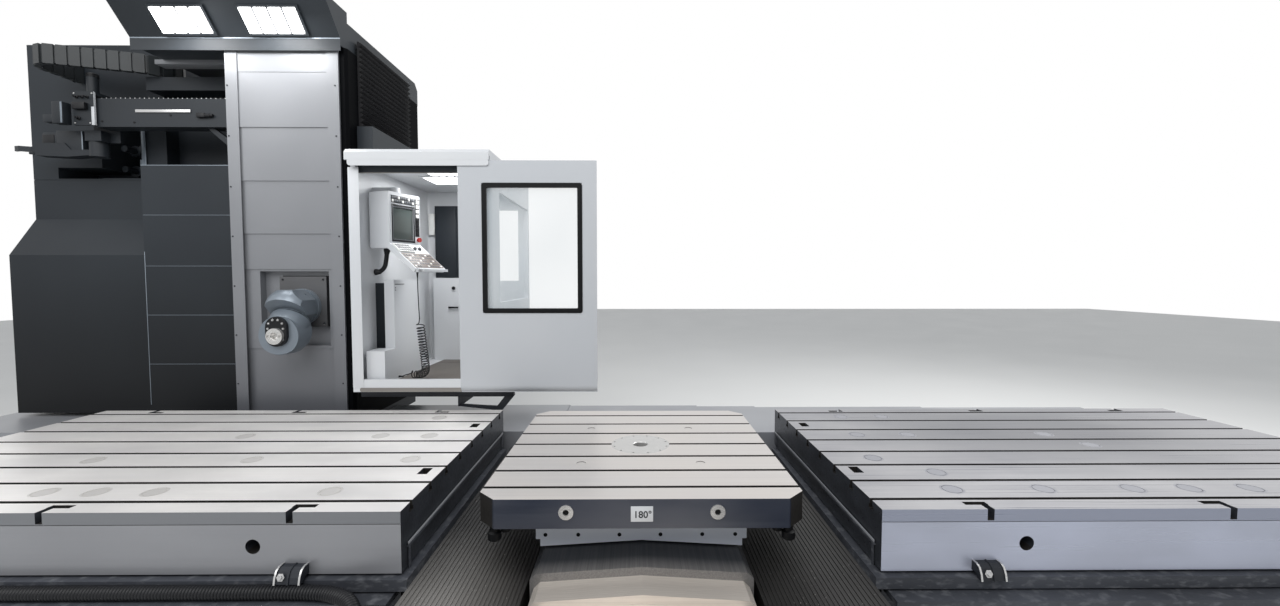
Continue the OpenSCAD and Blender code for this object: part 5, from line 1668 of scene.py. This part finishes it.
        housing.piece("changer_arm_housing", CHANGER_ENAMEL, Body.ARM)
        rim = Shape().box((-5.5180, 1.5922, 3.205), (-5.5055, 1.5940, 3.430), 0.0008)
        rim.box((-5.7600, 1.5925, 3.194), (-5.5060, 1.5990, 3.199), 0.0008)
        rim.piece("changer_arm_edges", HEAD_ENAMEL, Body.ARM)
        tools = Shape()
        cap_screws(tools, ((x, 3.235) for x in (-5.80, -5.86, -5.92, -5.96)), 1.6005, 0.012)
        tools.box((-5.905, 1.5945, 3.300), (-5.790, 1.6052, 3.400), 0.004)
        tools.piece("changer_arm_fittings", BLACK_PLASTIC, Body.ARM)

    def beam_parts(self) -> None:
        """Adds the bright tooth edges, the scale bar and the plugs of the changer's beam."""
        left = span("changer_beam")[0].x
        bright = Shape()
        for i in range(self.teeth):
            x = left + 0.021 + i * self.tooth_pitch
            bright.box((x, 1.5285, 3.7225), (x + 0.010, 1.5312, 3.7352), 0.0006)
        bright.box((left + 0.382, 1.4905, 3.5850), (left + 0.912, 1.4922, 3.6120), 0.0006)
        bright.piece("beam_bright_parts", BRIGHT_STEEL, Body.COLUMN)
        plug = Shape().box((-4.285, 1.4720, 3.5340), (-4.205, 1.5003, 3.5780), 0.006)
        plug.turned([(0.016, 0.0), (0.018, 0.004), (0.018, 0.050), (0.013, 0.056), (0.013, 0.078)],
                    (-4.206, 1.4850, 3.5540), (1, 0, 0), 16)
        cap_screws(plug, ((-5.21, 3.50), (-4.90, 3.49), (-4.55, 3.56), (-3.90, 3.52)), 1.5, 0.009)
        plug.piece("beam_plugs", BLACK_PLASTIC, Body.COLUMN)


@dataclass
class HeadGroup:
    """The ram with its elbow head and spindle.

    Attributes:
        axis_x: the ram's axis along the bed.
        nose_z: the spindle's height.
        flange_y: the front face of the nose flange.
        flange_radius: the flange's radius.
        flange_rise: how far its second centre lies above the spindle.
        flange_bore: the radius of the opening round the spindle nose.
        flange_points: how many points the flange's outline has.
        bolt_circle: the radius of the circle that its bolts lie on.
        bolt_turns: where they lie, in degrees round the second centre.
        joint_at: the middle of the slanted joint of the head.
        ram_w: the ram's width.
        ram_h: its height.
        ram_z: the height of its axis.
        screw_inset: how far the screws of its face lie from its sides.
    """

    axis_x: float = -3.184
    nose_z: float = 1.470
    flange_y: float = 0.903
    flange_radius: float = 0.092
    flange_rise: float = 0.078
    flange_bore: float = 0.0722
    flange_points: int = 48
    bolt_circle: float = 0.068
    bolt_turns: tuple[float, ...] = (-60, -20, 20, 60, 100, -100)
    joint_at: Point = (-3.184, 1.116, 1.591)
    ram_w: float = 0.440
    ram_h: float = 0.475
    ram_z: float = 1.757
    screw_inset: float = 0.030

    def build(self) -> None:
        """Finishes the ram and the head and adds the flange, bolts and joint band."""
        finish_nodes(("ram",), RAM_IRON)
        finish_nodes(("head_swivel", "head_tilt"), HEAD_ENAMEL)
        low, high = span("spindle_nose")
        nose_steel = TurnedSteel(
            "turned_nose_steel", "machined_steel", "#D6D5D3", 0.22, 0.7, centre=tuple((low + high) / 2),
            axis=Axis.Y, ring_mm=6.0,
        )
        finish_nodes(("spindle_nose",), nose_steel)
        self.flange()
        self.joint_band()
        self.ram_screws()

    def flange(self) -> None:
        """Lays the dark plate over the nose flange, with its light bolt heads."""
        x, z, rise = self.axis_x, self.nose_z, self.flange_rise
        count, radius, bore = self.flange_points, self.flange_radius + 0.0006, self.flange_bore
        outer, inner = [], []
        for k in range(count):
            a = 2 * math.pi * (k + 0.5) / count
            up = rise if math.sin(a) > 0 else 0.0
            outer.append((x + radius * math.cos(a), z + up + radius * math.sin(a)))
            inner.append((x + bore * math.cos(a), z + bore * math.sin(a)))
        Shape().hollow(outer, inner, Axis.Y, self.flange_y - 0.0012, self.flange_y + 0.031).piece(
            "nose_flange_plate", BLACK_PLASTIC, Body.TILT
        )
        heads = Shape()
        circle = self.bolt_circle
        for turn in self.bolt_turns:
            a = math.radians(turn)
            at = (x + circle * math.sin(a), self.flange_y - 0.001, z + rise + circle * math.cos(a))
            cap_screw(heads, at, 0.0098)
            heads.turned([(0.0088, 0.0), (0.0088, 0.0076), (0.0080, 0.0088)], at, FRONT, 14)
        heads.piece("nose_flange_bolts", BRIGHT_STEEL, Body.TILT)

    def joint_band(self) -> None:
        """Closes the slanted joint with its dark sealing band."""
        Shape().turned(
            [(0.1370, -0.0066), (0.1545, -0.0060), (0.1560, -0.0030), (0.1560, 0.0030), (0.1545, 0.0062),
             (0.1370, 0.0066)], self.joint_at, (0, 0.7071, 0.7071), 56,
        ).piece("head_joint_band", BLACK_GASKET, Body.SWIVEL)

    def ram_screws(self) -> None:
        """Sinks a socket screw in each corner of the ram's face."""
        front = span("ram")[0].y
        heads = Shape()
        wide, tall = self.ram_w / 2 - self.screw_inset, self.ram_h / 2 - self.screw_inset
        for sx in (-1, 1):
            for sz in (-1, 1):
                at = (self.axis_x + sx * wide, front + 0.0095, self.ram_z + sz * tall)
                cap_screw(heads, at, 0.0100)
        heads.piece("ram_face_screws", DARK_CASTING, Body.RAM)


@dataclass
class CabinGroup:
    """The operator cabin with its door, panel, lamps and cabinets.

    Attributes:
        panel_at: the corner of the panel's front.
        panel_turn: how far the panel is turned, in degrees.
        desk_slope: how steeply its key desk falls, in degrees.
        window_low: the lower left corner of the door's gasket, along X and Z.
        window_high: its upper right corner.
        gasket_w: the gasket's width.
        ceiling_z: the underside of the roof.
        mat_z: the top of the floor that the mat lies on.
        wall_y: the inner face of the rear wall.
        console_x: the face of the console.
        cabinet_y: the front of the cabinets at the rear wall.
    """

    panel_at: Point = (-2.269, 1.094, 2.301)
    panel_turn: float = 70.0
    desk_slope: float = math.degrees(math.atan2(237, 300))
    window_low: Pair = (-1.372, 1.672)
    window_high: Pair = (-0.498, 2.805)
    gasket_w: float = 0.042
    ceiling_z: float = 3.0
    mat_z: float = 1.019
    wall_y: float = 2.550
    console_x: float = -2.300
    cabinet_y: float = 2.420

    def build(self) -> None:
        """Finishes the cabin and adds what stands in it."""
        finish_nodes(
            ("cabin_base", "cabin_shell", "control_panel", "panel_arm", "console_cabinet"), CABIN_ENAMEL
        )
        finish_nodes(("cabin_door",), DOOR_ENAMEL)
        # dark_cabinets holds the black upper cabinet and the plate in the slot beside the console; that
        # plate's dark paint is a painted shadow for the shaded slot.
        finish_nodes(("cabin_carriage", "dark_cabinets"), DARK_SHEET)
        finish_nodes(("door_glass",), PANE)
        finish_nodes(("door_rails",), WORN_STEEL)
        finish_nodes(("emergency_stop",), STOP_RED)
        self.gasket()
        self.panel_face()
        self.panel_desk()
        self.lamps()
        self.floor_mat()
        self.console_parts()
        self.rear_parts()
        self.underframe()
        self.front_trims()

    def front_trims(self) -> None:
        """Adds the roof's rounded fascia, the left corner trim and the dark cover of the door's rail."""
        trims = Shape().drawn(
            rounded((-2.522, 2.950), (-1.304, 3.0085), 0.024), Axis.Y, 0.8938, 0.9015
        )
        trims.box((-2.5470, 0.9460, 1.004), (-2.4520, 0.9496, 2.946), 0.0016)
        trims.piece("cabin_front_trims", CABIN_ENAMEL, Body.CABIN)
        Shape().box((-2.4800, 0.9900, 2.910), (-1.4210, 0.9916, 2.996), 0.0006).piece(
            "rail_cover", HOOD_SHEET, Body.CABIN
        )

    def gasket(self) -> None:
        """Frames the door's window with its broad black gasket."""
        low, high, w = self.window_low, self.window_high, self.gasket_w
        outer = rounded(low, high, 0.022)
        inner = rounded((low[0] + w, low[1] + w), (high[0] - w, high[1] - w), 0.010)
        front = span("cabin_door")[0].y
        gasket = Shape().hollow(outer, inner, Axis.Y, front - 0.0050, front + 0.0095)
        back = w * 0.35
        lip = rounded((low[0] + back, low[1] + back), (high[0] - back, high[1] - back), 0.016)
        gasket.hollow(lip, inner, Axis.Y, front - 0.0085, front - 0.0045)
        gasket.piece("door_gasket", BLACK_GASKET, Body.DOOR)

    def panel_frame(self) -> Matrix:
        """Places the panel's own frame: X along its front, Y into it, Z up.

        Returns:
            The placing matrix.
        """
        return Matrix.Translation(self.panel_at) @ Matrix.Rotation(math.radians(self.panel_turn), 4, "Z")

    def panel_face(self) -> None:
        """Adds the screen, its dark surround and the keys of the panel's front."""
        here = self.panel_frame()
        Shape().box((0.0485, 0.0025, 0.0405), (0.2915, 0.0058, 0.3295), 0.0006, here).piece(
            "panel_screen", SCREEN, Body.PANEL
        )
        bezel = Shape()
        for x0, x1, z0, z1 in (
            (0.0285, 0.0478, 0.0145, 0.3575), (0.2922, 0.3075, 0.0145, 0.3575),
            (0.0478, 0.2922, 0.3302, 0.3575), (0.0478, 0.2922, 0.0145, 0.0398),
        ):
            bezel.box((x0, -0.0078, z0), (x1, -0.0055, z1), 0.0005, here)
        bezel.box((0.3165, -0.0050, 0.0780), (0.3695, -0.0038, 0.4365), 0.0004, here)
        bezel.box((0.0285, -0.0050, 0.3690), (0.3075, -0.0038, 0.4365), 0.0004, here)
        bezel.piece("panel_bezel", BLACK_PLASTIC, Body.PANEL)
        light, grey = Shape(), Shape()
        for row in range(2):
            for k in range(11):
                x = 0.036 + k * 0.0245
                z = 0.376 + row * 0.031
                (light if (k + 2 * row) % 5 == 0 else grey).box(
                    (x, -0.0076, z), (x + 0.0195, -0.0036, z + 0.024), 0.0012, here
                )
        light.piece("panel_top_keys", WHITE_KEYS, Body.PANEL)
        grey.piece("panel_grey_keys", GREY_KEYS, Body.PANEL)
        side, pale = Shape(), Shape()
        for k in range(8):
            z = 0.082 + k * 0.044
            (pale if k > 3 else side).box((0.324, -0.0085, z), (0.362, -0.0036, z + 0.034), 0.002, here)
        side.piece("panel_side_keys", BLACK_PLASTIC, Body.PANEL)
        pale.piece("panel_pale_keys", WHITE_KEYS, Body.PANEL)
        inner = Shape()
        for x0, x1, z0, z1 in (
            (0.0405, 0.0470, 0.031, 0.339), (0.2930, 0.2985, 0.031, 0.339),
            (0.0470, 0.2930, 0.3325, 0.339), (0.0470, 0.2930, 0.031, 0.0375),
        ):
            inner.box((x0, -0.0086, z0), (x1, -0.0074, z1), 0.0003, here)
        inner.piece("panel_bezel_line", GREY_KEYS, Body.PANEL)
        hub = here @ Vector((0.190, 0.110, 0.468))
        Shape().turned([(0.0465, 0.0), (0.0465, 0.0094)], tuple(hub), UP, 36).piece(
            "panel_hub_ring", GREY_KEYS, Body.PANEL
        )

    def panel_desk(self) -> None:
        """Covers the sloping desk with its key plate, keys, a white block and the wrist rail's ends."""
        slope = math.radians(self.desk_slope)
        desk = self.panel_frame() @ Matrix.Rotation(slope, 4, "X")
        Shape().box((0.012, -0.368, -0.0005), (0.372, -0.150, 0.0022), 0.0006, desk).piece(
            "desk_key_plate", KEY_PLATE, Body.PANEL
        )
        Shape().box((0.012, -0.138, -0.0005), (0.200, -0.020, 0.014), 0.003, desk).piece(
            "desk_keyboard_block", WHITE_KEYS, Body.PANEL
        )
        keys, dark = Shape(), Shape()
        for row in range(5):
            for k in range(11):
                if (row, k) in ((0, 3), (0, 4), (2, 7), (4, 5)):
                    continue
                x = 0.024 + k * 0.0315
                y = -0.356 + row * 0.041
                (keys if (3 * row + k) % 5 == 0 else dark).box(
                    (x, y, 0.0018), (x + 0.0175, y + 0.020, 0.0056), 0.0016, desk
                )
        for row in range(3):
            for k in range(6):
                dark.box((0.022 + k * 0.029, -0.128 + row * 0.034, 0.0136),
                         (0.044 + k * 0.029, -0.104 + row * 0.034, 0.0168), 0.001, desk)
        for x in (0.240, 0.300):
            dark.turned(
                [(0.020, 0.0), (0.020, 0.003), (0.0155, 0.004), (0.0140, 0.020), (0.0120, 0.022)],
                tuple(desk @ Vector((x, -0.080, 0.0))), tuple(desk.to_3x3() @ Vector(UP)), 22,
            )
        keys.piece("desk_keys", WHITE_KEYS, Body.PANEL)
        dark.piece("desk_dark_keys", GREY_KEYS, Body.PANEL)

    def lamps(self) -> None:
        """Sets the light panel and the row of spots into the ceiling."""
        z = self.ceiling_z
        outer = rounded((-2.200, 1.580), (-1.570, 2.010), 0.010)
        inner = rounded((-2.170, 1.610), (-1.600, 1.980), 0.006)
        Shape().hollow(outer, inner, Axis.Z, z - 0.016, z - 0.0003).piece(
            "ceiling_lamp_frame", CABIN_ENAMEL, Body.CABIN
        )
        lit = Shape().box((-2.170, 1.610, z - 0.011), (-1.600, 1.980, z - 0.0006), 0.002)
        for k in range(5):
            x = -2.017 + k * 0.0775
            lit.box((x - 0.029, 1.430, z - 0.010), (x + 0.029, 1.552, z - 0.0006), 0.003)
        lit.piece("ceiling_lamps", ROOM_LAMP, Body.CABIN)
        Shape().box((-2.060, 1.412, z - 0.0060), (-1.664, 1.570, z - 0.0003), 0.002).piece(
            "ceiling_spot_plate", GREY_KEYS, Body.CABIN
        )

    def floor_mat(self) -> None:
        """Lays the rubber mat on the cabin's floor, in two pieces with a seam between."""
        z = self.mat_z
        mat = Shape().box((-2.290, 1.012, z + 0.0002), (-1.396, 2.193, z + 0.0048), 0.0012)
        mat.box((-2.290, 2.197, z + 0.0002), (-1.396, 2.416, z + 0.0048), 0.0012)
        mat.piece("cabin_floor_mat", FLOOR_MAT, Body.CABIN)

    def console_parts(self) -> None:
        """Adds the slit and two buttons of the console and the white switch box on the rear wall."""
        face = self.console_x
        dark = Shape().box((face - 0.0005, 1.250, 1.918), (face + 0.0012, 1.446, 1.9245), 0.0004)
        for z in (1.889, 1.866):
            dark.turned([(0.0052, 0.0), (0.0052, 0.002), (0.0040, 0.003)], (face, 1.262, z), (1, 0, 0), 16)
        dark.piece("console_slits", BLACK_PLASTIC, Body.CABIN)
        wall = self.wall_y
        switch = Shape().box((-2.480, wall - 0.040, 2.490), (-2.410, wall + 0.0004, 2.740), 0.005)
        switch.box((-2.468, wall - 0.044, 2.560), (-2.422, wall - 0.039, 2.700), 0.002)
        switch.piece("wall_switch_box", WHITE_KEYS, Body.CABIN)

    def rear_parts(self) -> None:
        """Adds knob and handle to the cabinets at the rear wall, and their dark doors' edges."""
        face = self.cabinet_y
        parts = Shape()
        parts.turned([(0.012, 0.0), (0.012, 0.006), (0.020, 0.010), (0.020, 0.020), (0.016, 0.024)],
                     (-2.160, face, 1.865), FRONT, 24)
        parts.box((-2.226, face - 0.024, 1.628), (-2.112, face - 0.014, 1.648), 0.003)
        for x in (-2.218, -2.124):
            parts.box((x, face - 0.0145, 1.631), (x + 0.010, face + 0.0003, 1.645), 0.001)
        parts.piece("rear_cabinet_fittings", BLACK_PLASTIC, Body.CABIN)
        doors = Shape()
        for x0, x1 in ((-2.392, -2.153), (-2.147, -1.908)):
            doors.box((x0, 2.4915, 1.995), (x1, 2.4998, 2.820), 0.002)
        doors.piece("dark_cabinet_doors", DARK_SHEET, Body.CABIN)

    def underframe(self) -> None:
        """Hangs the dark carrying frame below the cabin's floor."""
        bracket = [
            (-1.152, 0.898), (-1.152, 0.960), (-1.186, 0.960), (-1.310, 0.800), (-1.650, 0.822),
            (-1.650, 0.806), (-1.330, 0.770), (-1.262, 0.764),
        ]
        beams = Shape()
        for y in (1.060, 2.200):
            beams.box((-2.540, y, 0.896), (-1.150, y + 0.060, 0.9645), 0.004)
            beams.drawn(bracket, Axis.Y, y + 0.010, y + 0.050)
        for x in (-2.480, -1.900, -1.400):
            beams.box((x, 1.118, 0.906), (x + 0.050, 2.202, 0.9640), 0.003)
        beams.box((-1.660, 1.062, 0.806), (-1.640, 2.258, 0.898), 0.002)
        beams.piece("cabin_underframe", DARK_CASTING, Body.CABIN)


# Light and camera


@dataclass
class Studio:
    """A pale floor, soft lamps and the camera at the photograph's viewing angle.

    Attributes:
        camera_at: where the camera stands.
        pitch_deg: how far it looks down.
        yaw_deg: how far it looks to the right.
        lens_mm: its focal length for a sensor 36 mm wide.
        sensor_mm: that width.
        floor_colour: the floor's colour.
        floor_half: half the floor's width.
        world_colour: the colour of the light from all round.
        world_strength: the strength of that light.
    """

    camera_at: Point = (-0.034, -3.573, 1.971)
    pitch_deg: float = 2.694
    yaw_deg: float = 0.506
    lens_mm: float = 14.34
    sensor_mm: float = 36.0
    floor_colour: str = "#E4E4E2"
    floor_half: float = 30.0
    world_colour: str = "#E9EDF2"
    world_strength: float = 0.5

    def light(self) -> None:
        """Sets up floor, world and lamps."""
        self.floor()
        self.world()
        self.lamps()
        bpy.context.scene.view_settings.view_transform = "Standard"

    def floor(self) -> None:
        """Lays the floor under the machine."""
        data = bpy.data.meshes.new("studio_floor")
        half = self.floor_half
        data.from_pydata(
            [(-half, -half, 0), (half, -half, 0), (half, half, 0), (-half, half, 0)], [], [(0, 1, 2, 3)]
        )
        floor = bpy.data.objects.new("studio_floor", data)
        bpy.context.scene.collection.objects.link(floor)
        data.materials.append(SprayedPaint("studio_floor_paint", "", self.floor_colour, 0.6).material())

    def world(self) -> None:
        """Makes the surroundings: white to the camera and in reflections, dimmer as light."""
        world = bpy.data.worlds.new("studio_world")
        bpy.context.scene.world = world
        world.use_nodes = True
        tree = world.node_tree
        tree.nodes.clear()
        path = add_node(tree, "ShaderNodeLightPath")
        seen = add_node(
            tree, "ShaderNodeMath", {"operation": "MAXIMUM"},
            {0: path.outputs["Is Camera Ray"], 1: path.outputs["Is Transmission Ray"]},
        )
        seen = add_node(
            tree, "ShaderNodeMath", {"operation": "MAXIMUM"},
            {0: seen.outputs[0], 1: path.outputs["Is Glossy Ray"]},
        )
        soft = add_node(
            tree, "ShaderNodeBackground",
            {"Color": linear(self.world_colour), "Strength": self.world_strength},
        )
        white = add_node(tree, "ShaderNodeBackground", {"Color": linear("#FFFFFF"), "Strength": 1.0})
        mix = add_node(
            tree, "ShaderNodeMixShader", {},
            {0: seen.outputs[0], 1: soft.outputs[0], 2: white.outputs[0]},
        )
        add_node(tree, "ShaderNodeOutputWorld", {}, {"Surface": mix.outputs[0]})

    def lamps(self) -> None:
        """Hangs large soft lamps over and in front of the machine, and small ones below the hood."""
        for name, at, aim, size, power in (
            ("hall_light_front", (-1.0, -5.5, 7.5), (0.0, 0.5, 0.8), 6.0, 430.0),
            ("hall_light_left", (-6.5, -4.0, 6.0), (-3.5, 1.2, 1.5), 4.0, 150.0),
            ("hall_light_right", (6.0, 2.5, 7.0), (2.0, 0.0, 0.8), 5.0, 330.0),
            ("hood_light_left", (-4.05, 0.86, 4.20), (-3.6, 1.25, 3.3), 0.35, 6.0),
            ("hood_light_right", (-3.25, 0.86, 4.20), (-3.2, 1.25, 3.3), 0.35, 7.0),
            ("cabin_light", (-1.90, 1.60, 2.94), (-2.0, 1.7, 1.0), 0.5, 13.0),
        ):
            data = bpy.data.lights.new(name, "AREA")
            data.energy = power
            data.size = size
            lamp = bpy.data.objects.new(name, data)
            lamp.location = at
            lamp.rotation_euler = (Vector(aim) - Vector(at)).to_track_quat("-Z", "Y").to_euler()
            bpy.context.scene.collection.objects.link(lamp)

    def camera(self) -> None:
        """Puts the camera where the photograph was taken."""
        data = bpy.data.cameras.new("photo_camera")
        data.sensor_width = self.sensor_mm
        data.sensor_fit = "HORIZONTAL"
        data.lens = self.lens_mm
        data.clip_end = 200.0
        camera = bpy.data.objects.new("photo_camera", data)
        camera.location = self.camera_at
        camera.rotation_euler = (math.radians(90 - self.pitch_deg), 0, math.radians(-self.yaw_deg))
        bpy.context.scene.collection.objects.link(camera)
        bpy.context.scene.camera = camera


def main() -> None:
    """Builds the scene."""
    logging.basicConfig(level=logging.INFO, format="%(message)s")
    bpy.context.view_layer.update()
    studio = Studio()
    studio.camera()
    for group in (Cords(), FloorPlates(), TableGroup(), ColumnGroup(), HeadGroup(), CabinGroup()):
        group.build()
    studio.light()


if __name__ == "__main__":
    main()
